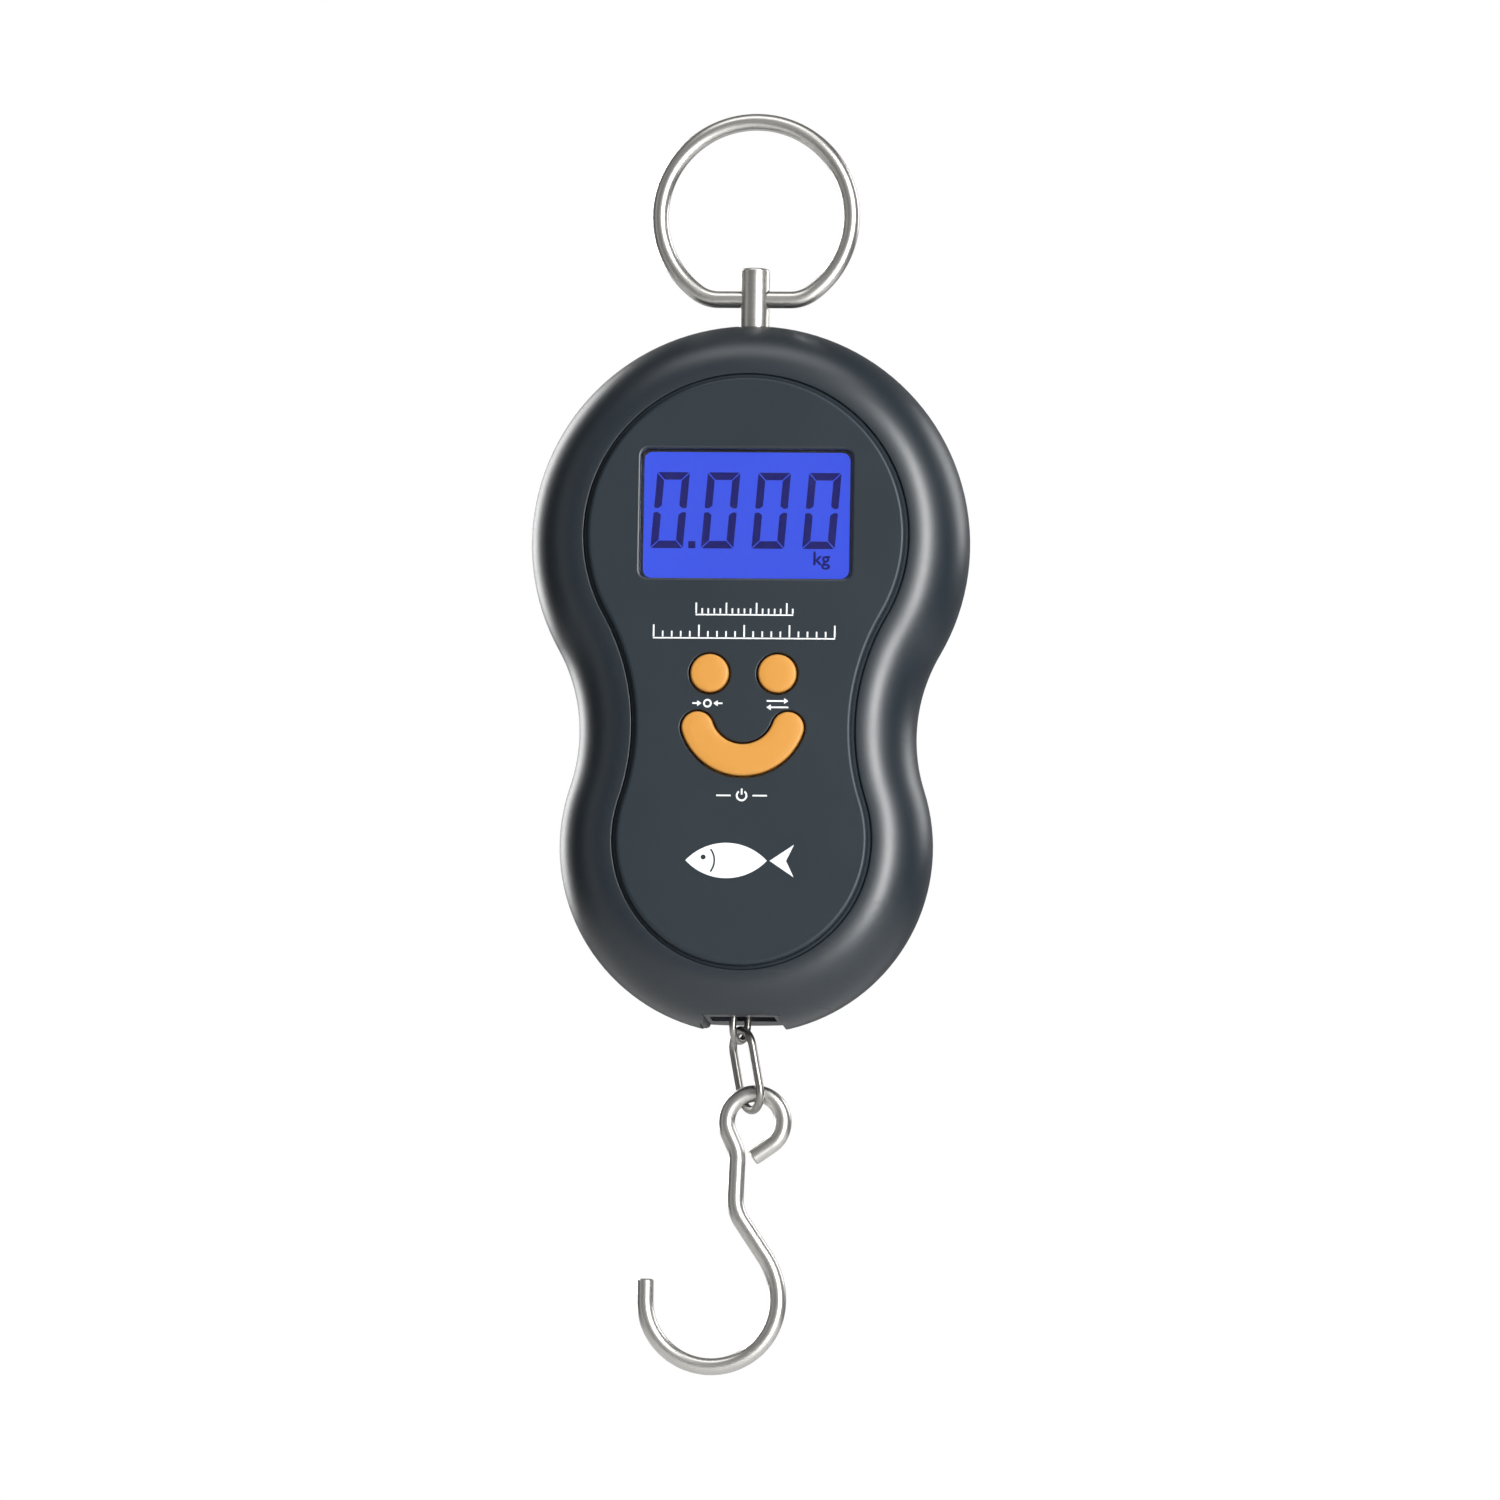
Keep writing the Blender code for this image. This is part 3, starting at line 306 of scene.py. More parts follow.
def bent_wire(start, heading, bends, step=3.0):
    """Points along a wire bent flat. A bend is a straight length, then a turn and its radius."""
    x, z = start
    points = [(x, z)]
    for straight, turn, radius in bends:
        x += straight * MM * math.cos(math.radians(heading))
        z += straight * MM * math.sin(math.radians(heading))
        if straight:
            points.append((x, z))
        if turn:
            side = math.copysign(90, turn)
            centre_angle = math.radians(heading + side)
            centre = (x + radius * MM * math.cos(centre_angle), z + radius * MM * math.sin(centre_angle))
            steps = max(2, round(abs(turn) / step))
            points += arc(centre, radius * MM, heading - side, heading - side + turn, steps)[1:]
            x, z = points[-1]
            heading += turn
    return points


def rolled_edge(rim_inset, width, seam_y, face_y, steps, fullness):
    """(inset, Y) points of a superellipse quarter, from the side wall at the seam over to the face."""
    power = 2 / fullness
    points = []
    for i in range(steps + 1):
        angle = math.radians(90) * i / steps
        across = 1 - max(math.cos(angle), 0.0) ** power
        forward = math.sin(angle) ** power
        points.append((rim_inset + width * across, seam_y + (face_y - seam_y) * forward))
    return points


def quarter_round(radius):
    """(across, along) points of a rounded edge, from (radius, 0) to (0, radius)."""
    turns = [math.radians(angle) for angle in range(0, 91, 15)]
    return [(radius * (1 - math.sin(turn)), radius * (1 - math.cos(turn))) for turn in turns]


# ---------------------------------------------------------------- meshes


def loop(bm, outline, y):
    return [bm.verts.new((x, y, z)) for x, z in outline]


def bridge(bm, first, second, material=0):
    """A band of faces between two loops of the same number of points."""
    count = len(first)
    for i in range(count):
        j = (i + 1) % count
        bm.faces.new((first[i], first[j], second[j], second[i])).material_index = material


def loft(bm, loops):
    """A closed solid through loops of the same number of points."""
    for first, second in zip(loops, loops[1:]):
        bridge(bm, first, second)
    bm.faces.new(loops[0])
    bm.faces.new(loops[-1])


def new_piece(name, bm, materials, steady=True):
    """A mesh object from bm, shaded smooth but for its sharp edges."""
    bmesh.ops.recalc_face_normals(bm, faces=bm.faces)
    mesh = bpy.data.meshes.new(name)
    bm.to_mesh(mesh)
    bm.free()
    for material in materials:
        mesh.materials.append(material)
    piece = bpy.data.objects.new(name, mesh)
    bpy.context.scene.collection.objects.link(piece)
    finish_shading(piece, steady=steady)
    return piece


def finish_shading(piece, sharp=40, steady=True):
    piece.data.shade_smooth()
    piece.data.set_sharp_from_angle(angle=math.radians(sharp))
    if steady:
        piece.modifiers.new("Even normals", "WEIGHTED_NORMAL").keep_sharp = True


def plate(bm, outline, front_y, back_y, holes=()):
    """A flat solid with any holes, its outlines in X and Z."""
    rims = [loop(bm, points, front_y) for points in (outline, *holes)]
    edges = [bm.edges.new((rim[i], rim[(i + 1) % len(rim)])) for rim in rims for i in range(len(rim))]
    made = bmesh.ops.triangle_fill(bm, edges=edges, use_beauty=True, normal=(0, -1, 0))["geom"]
    faces = [part for part in made if isinstance(part, bmesh.types.BMFace)]
    moved = bmesh.ops.extrude_face_region(bm, geom=faces, use_keep_orig=True)["geom"]
    back = [part for part in moved if isinstance(part, bmesh.types.BMVert)]
    bmesh.ops.translate(bm, verts=back, vec=(0, back_y - front_y, 0))


def flat_piece(name, shapes, front_y, back_y, material):
    """A piece of flat plates at one depth, from (outline, holes) pairs."""
    bm = bmesh.new()
    for outline, holes in shapes:
        plate(bm, outline, front_y, back_y, holes)
    return new_piece(name, bm, [material], steady=False)


def hidden_tool(bm):
    """A hidden solid, which carve uses up."""
    tool = new_piece("cutter", bm, [], steady=False)
    tool.hide_render = True
    return tool


def cutter(outline, front_y, back_y):
    """A prism to cut with."""
    bm = bmesh.new()
    loft(bm, [loop(bm, outline, front_y), loop(bm, outline, back_y)])
    return hidden_tool(bm)


def turned_cutter(radius, start, end, sides=48):
    """A cylinder to cut with."""
    bm = bmesh.new()
    start, end = Vector(start), Vector(end)
    along = end - start
    place = Matrix.Translation((start + end) / 2) @ along.to_track_quat("Z", "Y").to_matrix().to_4x4()
    bmesh.ops.create_cone(
        bm, cap_ends=True, segments=sides, radius1=radius, radius2=radius, depth=along.length, matrix=place
    )
    return hidden_tool(bm)


def mouth(outline, lip, face_y, deep_y):
    """A prism to cut a hole with, its edge at the face rounded. outline(grow) gives the hole's outline."""
    inward = math.copysign(1, deep_y - face_y)
    stops = [(lip, face_y - inward * 2 * MM)]
    stops += [(across, face_y + inward * along) for across, along in quarter_round(lip)]
    stops.append((0.0, deep_y))
    bm = bmesh.new()
    loft(bm, [loop(bm, outline(grow), y) for grow, y in stops])
    return hidden_tool(bm)


def carve(piece, cutters, joined=(), sharp=40):
    """Joins other solids to the piece, then cuts it."""
    piece.modifiers.clear()
    for operation, tools in (("UNION", joined), ("DIFFERENCE", cutters)):
        for tool in tools:
            step = piece.modifiers.new(operation.title(), "BOOLEAN")
            step.operation = operation
            step.object = tool
    depsgraph = bpy.context.evaluated_depsgraph_get()
    mesh = bpy.data.meshes.new_from_object(piece.evaluated_get(depsgraph))
    piece.modifiers.clear()
    piece.data = mesh
    for tool in (*cutters, *joined):
        bpy.data.objects.remove(tool)
    finish_shading(piece, sharp)


def cover_blank(name, profile, materials, panel_rows=0):
    """A closed cover, lofted through (inset, Y) points from the middle of its face round to its inside.

    The face and the first panel_rows bands round it take the second material.
    """
    bm = bmesh.new()
    loops = [loop(bm, casing_outline(inset), y) for inset, y in profile]
    for row, (first, second) in enumerate(zip(loops, loops[1:])):
        bridge(bm, first, second, 1 if row < panel_rows else 0)
    bm.faces.new(loops[0]).material_index = 1 if panel_rows else 0
    bm.faces.new(loops[-1])
    return new_piece(name, bm, materials)


def turned(name, profile, centre, materials, axis="Z", steps=64):
    """A lathe-turned solid: (radius, distance along the axis, finish) from one end to the other."""
    bm = bmesh.new()
    rows = []
    for radius, along, _ in profile:
        ring = circle((0, 0), radius, steps) if radius else [(0, 0)]
        rows.append([bm.verts.new((x, y, along)) for x, y in ring])
    for (_, _, finish), first, second in zip(profile, rows, rows[1:]):
        for i in range(steps):
            j = (i + 1) % steps
            corners = [first[i % len(first)], first[j % len(first)]]
            corners += [second[j % len(second)], second[i % len(second)]]
            bm.faces.new(list(dict.fromkeys(corners))).material_index = finish
    if axis == "Y":
        upright = Matrix.Rotation(math.radians(-90), 3, "X")
        bmesh.ops.rotate(bm, verts=bm.verts, cent=(0, 0, 0), matrix=upright)
    bmesh.ops.translate(bm, verts=bm.verts, vec=centre)
    return new_piece(name, bm, materials, steady=False)


def tube(name, points, radius, across, material, closed=False, sides=24, chamfer=0.0):
    """A round wire along points. across is a direction square to all of it, or nearly so."""
    points = [Vector(p) for p in points]
    last = len(points) - 1
    lengths = [0.0]
    for here, there in zip(points, points[1:] + points[:1]):
        lengths.append(lengths[-1] + (there - here).length)
    stops = [(i, radius, 0.0) for i in range(last + 1)]  # point, radius there, and shift along the wire
    if chamfer:
        narrow = radius - chamfer
        stops[0], stops[-1] = (0, radius, chamfer), (last, radius, -chamfer)
        stops = [(0, narrow, 0.0), *stops, (last, narrow, 0.0)]
    angles = [2 * math.pi * n / sides for n in range(sides)]
    bm = bmesh.new()
    rows = []
    for i, row_radius, shift in stops:
        if closed:
            before, after = points[i - 1], points[(i + 1) % (last + 1)]
        else:
            before, after = points[max(i - 1, 0)], points[min(i + 1, last)]
        tangent = (after - before).normalized()
        side = across.cross(tangent).normalized()
        lift = tangent.cross(side)
        place = points[i] + tangent * shift
        rows.append(
            [bm.verts.new(place + row_radius * (math.cos(a) * side + math.sin(a) * lift)) for a in angles]
        )
    along = [lengths[i] for i, _, _ in stops]
    if closed:
        rows.append(rows[0])
        along.append(lengths[-1])
    wrap = bm.loops.layers.uv.new("wire")
    for k, (first, second) in enumerate(zip(rows, rows[1:])):
        for i in range(sides):
            j = (i + 1) % sides
            face = bm.faces.new((first[i], first[j], second[j], second[i]))
            spots = ((along[k], i), (along[k], i + 1), (along[k + 1], i + 1), (along[k + 1], i))
            for corner, (length, turn) in zip(face.loops, spots):
                corner[wrap].uv = (length, turn / sides)
    if not closed:
        bm.faces.new(rows[0])
        bm.faces.new(rows[-1])
    return new_piece(name, bm, [material], steady=False)


def fit(piece, body, slot, *nodes):
    """The piece rides on that body and stands for those CAD nodes, which it hides; its slot is not used."""
    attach(piece, body)
    if nodes:
        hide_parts(*nodes)
    return piece


# ---------------------------------------------------------------- shader groups


def new_group(name, inputs, outputs):
    """An empty shader group with sockets given as (name, kind, default)."""
    group = bpy.data.node_groups.new(name, "ShaderNodeTree")
    for title, kind, default in inputs:
        socket = group.interface.new_socket(title, in_out="INPUT", socket_type=kind)
        socket.default_value = default
    for title, kind in outputs:
        group.interface.new_socket(title, in_out="OUTPUT", socket_type=kind)
    return group, group.nodes.new("NodeGroupInput"), group.nodes.new("NodeGroupOutput")


def add_node(tree, kind, links=(), **values):
    """A node with its settings as keywords, and its sockets set from (socket, value or output) pairs."""
    node = tree.nodes.new(kind)
    for key, value in values.items():
        setattr(node, key, value)
    for socket, source in links:
        if isinstance(source, bpy.types.NodeSocket):
            tree.links.new(source, node.inputs[socket])
        else:
            node.inputs[socket].default_value = source
    return node


def maths(tree, operation, first, second=0.0):
    return add_node(tree, "ShaderNodeMath", ((0, first), (1, second)), operation=operation).outputs[0]


def spread(tree, value, low, high):
    """Brings a 0 to 1 value into a range."""
    node = add_node(tree, "ShaderNodeMapRange", (("Value", value), ("To Min", low), ("To Max", high)))
    return node.outputs["Result"]


def noise(tree, place, scale, detail=2.0, distortion=0.0):
    links = (("Vector", place), ("Scale", scale), ("Detail", detail), ("Distortion", distortion))
    return add_node(tree, "ShaderNodeTexNoise", links).outputs["Fac"]


def scaled(tree, colour, factor):
    """A colour times a value."""
    links = ((0, colour), ("Scale", factor))
    return add_node(tree, "ShaderNodeVectorMath", links, operation="SCALE").outputs["Vector"]


FINISH_OUTPUTS = (
    ("Colour", "NodeSocketColor"),
    ("Roughness", "NodeSocketFloat"),
    ("Height", "NodeSocketFloat"),
)


def vary_finish(group, given, result, pattern, drift, dullness, height):
    """Ends a finish group: its colour and its roughness follow the pattern, and the height goes out."""
    low = maths(group, "SUBTRACT", 1.0, drift)
    high = maths(group, "ADD", 1.0, drift)
    tint = spread(group, pattern, low, high)
    rough = maths(group, "MULTIPLY", given.outputs["Roughness"], spread(group, pattern, *dullness))
    group.links.new(scaled(group, given.outputs["Colour"], tint), result.inputs["Colour"])
    group.links.new(rough, result.inputs["Roughness"])
    group.links.new(height, result.inputs["Height"])


def moulded_grain():
    """Spark-eroded mould texture: a fine grain, with slow drifts of colour and gloss."""
    group = bpy.data.node_groups.get("Moulded grain")
    if group:
        return group
    group, given, result = new_group(
        "Moulded grain",
        (
            ("Colour", "NodeSocketColor", (0.5, 0.5, 0.5, 1.0)),
            ("Roughness", "NodeSocketFloat", 0.5),
            ("Grain per metre", "NodeSocketFloat", 5000.0),
            ("Drift", "NodeSocketFloat", 0.08),
        ),
        FINISH_OUTPUTS,
    )
    place = add_node(group, "ShaderNodeTexCoord").outputs["Object"]
    fine = noise(group, place, given.outputs["Grain per metre"], 3.0)
    slow = noise(group, place, 60.0, 4.0)
    mixed = maths(group, "ADD", maths(group, "MULTIPLY", slow, 0.7), maths(group, "MULTIPLY", fine, 0.3))
    vary_finish(group, given, result, mixed, given.outputs["Drift"], (0.88, 1.12), fine)
    return group


def handling_marks():
    """Faint hairline scratches and finger smears, as a mask."""
    group = bpy.data.node_groups.get("Handling marks")
    if group:
        return group
    group, given, result = new_group(
        "Handling marks",
        (("Amount", "NodeSocketFloat", 1.0),),
        (("Mark", "NodeSocketFloat"), ("Smear", "NodeSocketFloat")),
    )
    place = add_node(group, "ShaderNodeTexCoord").outputs["Object"]
    lines = None
    for angle, scale in ((0.5, (90.0, 90.0, 2600.0)), (-0.9, (70.0, 70.0, 1900.0))):
        placing = (("Vector", place), ("Rotation", (0.0, angle, 0.0)), ("Scale", scale))
        stretched = add_node(group, "ShaderNodeMapping", placing).outputs["Vector"]
        peaks = (("Value", noise(group, stretched, 1.0, 1.0)), ("From Min", 0.74), ("From Max", 0.8))
        hair = add_node(group, "ShaderNodeMapRange", peaks).outputs["Result"]
        lines = maths(group, "MAXIMUM", lines, hair) if lines else hair
    smear = noise(group, place, 110.0, 5.0, 1.4)
    group.links.new(maths(group, "MULTIPLY", lines, given.outputs["Amount"]), result.inputs["Mark"])
    group.links.new(maths(group, "MULTIPLY", smear, given.outputs["Amount"]), result.inputs["Smear"])
    return group


def drawn_lines():
    """Die lines along drawn or turned metal, from coordinates whose first part runs along them."""
    group = bpy.data.node_groups.get("Drawn lines")
    if group:
        return group
    group, given, result = new_group(
        "Drawn lines",
        (
            ("Place", "NodeSocketVector", (0.0, 0.0, 0.0)),
            ("Colour", "NodeSocketColor", (0.6, 0.6, 0.6, 1.0)),
            ("Roughness", "NodeSocketFloat", 0.2),
            ("Depth", "NodeSocketFloat", 0.25),
        ),
        FINISH_OUTPUTS,
    )
    streaks = noise(group, given.outputs["Place"], 1.0)
    vary_finish(group, given, result, streaks, given.outputs["Depth"], (0.8, 1.2), streaks)
    return group


# ---------------------------------------------------------------- materials


def new_material(name):
    material = bpy.data.materials.new(name)
    material.use_nodes = True
    return material, material.node_tree, material.node_tree.nodes["Principled BSDF"]


def worn(tree, rough, amount, scratches, smears=0.0):
    """A roughness with hairlines in it and, where smears is given, finger smears."""
    wear = add_node(tree, "ShaderNodeGroup", (("Amount", amount),), node_tree=handling_marks())
    rough = maths(tree, "ADD", rough, maths(tree, "MULTIPLY", wear.outputs["Mark"], scratches))
    if smears:
        rough = maths(tree, "SUBTRACT", rough, maths(tree, "MULTIPLY", wear.outputs["Smear"], smears))
    return rough


def lead_finish(tree, shader, group, rough, relief):
    """Leads a finish group's colour and height, and the roughness, to the shader."""
    tree.links.new(group.outputs["Colour"], shader.inputs["Base Color"])
    tree.links.new(rough, shader.inputs["Roughness"])
    bump = add_node(tree, "ShaderNodeBump", (("Height", group.outputs["Height"]), ("Distance", relief)))
    tree.links.new(bump.outputs["Normal"], shader.inputs["Normal"])


def moulded(name, colour, roughness, grain=5000.0, drift=0.08, relief=0.01 * MM, marks=0.0, gloss=0.5):
    """Moulded plastic, rubber or resin: grain, drifts of colour and, on handled parts, faint marks."""
    material = bpy.data.materials.get(name)
    if material:
        return material
    material, tree, shader = new_material(name)
    given = (
        ("Colour", (*colour, 1.0)),
        ("Roughness", roughness),
        ("Grain per metre", grain),
        ("Drift", drift),
    )
    group = add_node(tree, "ShaderNodeGroup", given, node_tree=moulded_grain())
    rough = group.outputs["Roughness"]
    if marks:
        rough = worn(tree, rough, marks, 0.2, 0.06)
    shader.inputs["Specular IOR Level"].default_value = gloss
    lead_finish(tree, shader, group, rough, relief)
    return material


def metal(name, colour, roughness, scale, depth=0.2, uv=False, relief=0.004 * MM, marks=0.0):
    """Drawn, turned or milled metal. scale is small along the lines and large across them."""
    material = bpy.data.materials.get(name)
    if material:
        return material
    material, tree, shader = new_material(name)
    place = add_node(tree, "ShaderNodeTexCoord").outputs["UV" if uv else "Object"]
    mapped = add_node(tree, "ShaderNodeMapping", (("Vector", place), ("Scale", scale))).outputs["Vector"]
    given = (("Place", mapped), ("Colour", (*colour, 1.0)), ("Roughness", roughness), ("Depth", depth))
    group = add_node(tree, "ShaderNodeGroup", given, node_tree=drawn_lines())
    rough = group.outputs["Roughness"]
    if marks:
        rough = worn(tree, rough, marks, 0.15)
    shader.inputs["Metallic"].default_value = 1.0
    lead_finish(tree, shader, group, rough, relief)
    return material


def zinc_plate():
    return metal("zinc_plate", (0.52, 0.53, 0.55), 0.3, (300.0, 300.0, 300.0), 0.15)


def drawn_wire(name, colour, roughness):
    """Drawn steel wire, with its die lines running along it."""
    return metal(name, colour, roughness, (40.0, 14.0, 1.0), 0.08, uv=True, relief=0.0003 * MM, marks=0.3)


def clear_lens():
    """Clear acrylic with a few hairlines."""
    material, tree, shader = new_material("clear_lens")
    tree.links.new(worn(tree, 0.02, 0.5, 0.1), shader.inputs["Roughness"])
    shader.inputs["Base Color"].default_value = (0.97, 0.98, 1.0, 1.0)
    shader.inputs["Transmission Weight"].default_value = 1.0
    shader.inputs["IOR"].default_value = 1.49
    shader.inputs["Specular IOR Level"].default_value = 0.15
    return material


def lit_glass(name, colour, strength, roughness=0.35):
    """A lit surface whose brightness varies a little from place to place."""
    material, tree, shader = new_material(name)
    place = add_node(tree, "ShaderNodeTexCoord").outputs["Object"]
    level = spread(tree, noise(tree, place, 35.0, 1.0), 0.9, 1.1)
    tree.links.new(scaled(tree, tuple(colour), level), shader.inputs["Emission Color"])
    shader.inputs["Base Color"].default_value = (0.004, 0.004, 0.006, 1.0)
    shader.inputs["Specular IOR Level"].default_value = 0.2
    shader.inputs["Emission Strength"].default_value = strength
    shader.inputs["Roughness"].default_value = roughness
    return material


def dress(material, *nodes):
    """Gives CAD nodes that stay as they are a finished material."""
    for node in nodes:
        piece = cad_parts[node]
        for place in piece.material_slots:
            place.material = material


def casing_materials(settings):
    dull = settings.roughness
    shell = moulded("casing_shell", settings.shell_colour, dull, marks=0.5, gloss=0.8)
    # Panel: the shell's plastic made lighter, painted light on the flat face.
    panel = moulded("casing_panel_lit", settings.panel_lit_colour, dull + 0.08, relief=0.006 * MM, marks=0.4)
    return shell, panel


# ---------------------------------------------------------------- pieces


class FISHSCALE_OT_front_cover(bpy.types.Operator):
    """Build the front cover: rolled edge, groove, raised panel, and its openings."""

    bl_idname = "fish_scale.front_cover"
    bl_label = "Front cover"

    def execute(self, context):
        settings = context.scene.fish_casing
        shell, panel = casing_materials(settings)
        rim = GROOVE_INSETS[1] + 0.02 * MM
        panel_edge = [(rim + across, FRONT_FACE_Y + along) for across, along in quarter_round(PANEL_EDGE_R)]
        groove = [
            (GROOVE_INSETS[1], GROOVE_Y - 0.1 * MM),
            (GROOVE_INSETS[1] - 0.1 * MM, GROOVE_Y),
            (GROOVE_INSETS[0] + 0.1 * MM, GROOVE_Y),
            (GROOVE_INSETS[0], GROOVE_Y - 0.1 * MM),
            (SHOULDER_INSET + 0.16 * MM, SHOULDER_Y + 0.14 * MM),
            (SHOULDER_INSET + 0.08 * MM, SHOULDER_Y + 0.03 * MM),
        ]
        outer = rolled_edge(0.0, SHOULDER_INSET, -0.15 * MM, SHOULDER_Y, 30, 2.0)
        inner = rolled_edge(WALL, 7.0 * MM, -SEAM, PANEL_INNER_Y + 1.2 * MM, 8, 2.3)
        inner += [(10.7 * MM, PANEL_INNER_Y + 1.2 * MM), (11.2 * MM, PANEL_INNER_Y)]
        profile = panel_edge + groove + outer[:0:-1] + eased_rim(-1) + inner
        floor_of_groove = 3  # bands
        panel_rows = len(panel_edge) + floor_of_groove
        cover = cover_blank("front_shell", profile, [shell, panel], panel_rows)

        def window(grow):
            half_height = WINDOW_HALF_HEIGHT + grow
            return rounded_rectangle(
                -WINDOW_HALF_WIDTH - grow,
                WINDOW_HALF_WIDTH + grow,
                WINDOW_CENTRE_Z - half_height,
                WINDOW_CENTRE_Z + half_height,
                1.3 * MM + grow,
            )

        cutters = [mouth(window, settings.window_lip, FRONT_FACE_Y, HOLE_DEEP_Y)]
        for outline in (
            arc_button_outline,
            lambda grow: round_button_outline(-ROUND_BUTTON_X, grow),
            lambda grow: round_button_outline(ROUND_BUTTON_X, grow),
        ):
            cutters.append(
                mouth(lambda grow: outline(BUTTON_GAP + grow), settings.lip, FRONT_FACE_Y, HOLE_DEEP_Y)
            )
        low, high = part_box("display_window")
        gap = BUTTON_GAP
        rebate = rounded_rectangle(low.x - gap, high.x + gap, low.z - gap, high.z + gap, 2 * MM)
        cutters.append(cutter(rebate, low.y - 0.1 * MM, HOLE_DEEP_Y))
        carve(cover, cutters + exit_cutters(), [sill(shell, -SEAM, -SILL_DEPTH)])
        fit(cover, "case", "casing", "front_cover")
        return {"FINISHED"}


def eased_rim(side):
    """The small rounding of a cover's outer edge at the seam, side -1 for the front and 1 for the rear."""
    stops = ((0.0, 0.2 * MM), (0.06 * MM, 0.12 * MM), (0.3 * MM, 0.1 * MM), (0.34 * MM, SEAM))
    return [(inset, side * y) for inset, y in stops]


def sill(material, near_y, far_y):
    """The thicker floor round the link's hole, to join to a cover."""
    outline = rounded_rectangle(-SILL_HALF_WIDTH, SILL_HALF_WIDTH, *SILL_Z, 0.5 * MM, 3)
    return flat_piece("sill", [(outline, ())], near_y, far_y, material)


def exit_cutters():
    """What both covers are cut with: the post's hole, the link's hole and the slot with flared sides."""
    post_hole = turned_cutter(POST_HOLE_R, (0, 0, CASING_TOP_Z + 4 * MM), (0, 0, CASING_TOP_Z - 6 * MM))
    flare_x, flare_z = SLOT_HALF_WIDTH + SLOT_FLARE, SLOT_CEILING_Z - 1.0 * MM + SLOT_FLARE
    left = arc((-flare_x, flare_z), SLOT_FLARE, 0, -90, 6)
    right = arc((flare_x, flare_z), SLOT_FLARE, 270, 180, 6)
    low = CASING_BOTTOM_Z - 3 * MM
    outline = [(-SLOT_HALF_WIDTH, SLOT_CEILING_Z)] + left + [(left[-1][0], low), (right[0][0], low)]
    outline += right + [(SLOT_HALF_WIDTH, SLOT_CEILING_Z)]
    slot = cutter(outline, -20 * MM, 20 * MM)
    half = LINK_HOLE_HALF_WIDTH
    hole = rounded_rectangle(-half, half, CASING_BOTTOM_Z - 1 * MM, LINK_HOLE_TOP_Z, 0.5 * MM, 2)
    return [post_hole, slot, cutter(hole, -4 * MM, 4 * MM)]


class FISHSCALE_OT_rear_cover(bpy.types.Operator):
    """Build the rear cover: rolled edge, flat back, screw wells and battery bay."""

    bl_idname = "fish_scale.rear_cover"
    bl_label = "Rear cover"

    def execute(self, context):
        settings = context.scene.fish_casing
        shell, _ = casing_materials(settings)
        outer = rolled_edge(0.0, 8.0 * MM, 0.15 * MM, REAR_FACE_Y, 30, 2.2)
        inner = rolled_edge(WALL, 7.6 * MM, SEAM, REAR_INNER_Y, 8, 2.6)
        cover = cover_blank("rear_shell", outer[:0:-1] + eased_rim(1) + inner, [shell])
        door_low, door_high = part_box("battery_door")
        half = door_half_width()

        def rebate(grow):
            margin = DOOR_CLEARANCE + grow
            return rounded_rectangle(
                -half - margin, half + margin, door_low.z - margin, door_high.z + margin, 0.5 * MM + grow, 3
            )

        lip = settings.lip
        space = rounded_rectangle(-BAY_HALF_WIDTH, BAY_HALF_WIDTH, *BAY_Z, 0.6 * MM, 3)
        notch = (0, door_low.z - 0.5 * MM)
        cutters = [
            mouth(rebate, lip, REAR_FACE_Y, door_low.y - 0.15 * MM),
            mouth(lambda grow: circle(notch, FINGER_NOTCH_R + grow), lip, REAR_FACE_Y, FINGER_NOTCH_Y),
            cutter(space, BAY_FLOOR_Y, REAR_FACE_Y + 2 * MM),
        ]
        for x, z in case_screw_places():
            cutters.append(
                mouth(lambda grow: circle((x, z), SCREW_WELL_R + grow, 40), lip, REAR_FACE_Y, 4 * MM)
            )
        pin_y, pin_z = (door_low.y + door_high.y) / 2, door_high.z - (door_high.y - door_low.y) / 2
        reach = door_high.x + 0.3 * MM
        cutters.append(turned_cutter(0.55 * MM, (-reach, pin_y, pin_z), (reach, pin_y, pin_z), 16))
        carve(cover, cutters + exit_cutters(), inner_walls(shell))
        fit(cover, "case", "casing", "rear_cover")
        return {"FINISHED"}


def case_screw_places():
    """(X, Z) of the four case screws."""
    places = []
    for row in ("upper", "lower"):
        for side in ("left", "right"):
            low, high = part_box(f"case_screw_{row}_{side}")
            places.append(((low.x + high.x) / 2, (low.z + high.z) / 2))
    return places


def door_half_width():
    """Half the door's width without its pins."""
    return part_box("battery_door")[1].x - 0.9 * MM


def inner_walls(material):
    """What stands inside the rear cover: the battery bay's walls, the door's ledge and the bosses."""
    wall, margin = 1.2 * MM, 1.6 * MM
    door_low, door_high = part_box("battery_door")
    half = door_half_width() + margin
    bay = rounded_rectangle(
        -BAY_HALF_WIDTH - wall, BAY_HALF_WIDTH + wall, BAY_Z[0] - wall, BAY_Z[1] + wall, 1.0 * MM, 3
    )
    ledge = rounded_rectangle(-half, half, door_low.z - margin, door_high.z + margin, 1.0 * MM, 3)
    blocks = [
        ("bay_walls", bay, BAY_FLOOR_Y - 0.8 * MM, 14.5 * MM),
        ("door_ledge", ledge, 12.6 * MM, 15.0 * MM),
    ]
    for place in case_screw_places():
        blocks.append(("screw_boss", circle(place, SCREW_WELL_R + 0.9 * MM, 40), 0.45 * MM, 15.0 * MM))
    walls = [sill(material, SEAM, SILL_DEPTH)]
    for name, outline, front, back in blocks:
        walls.append(flat_piece(name, [(outline, ())], front, back, material))
    return walls


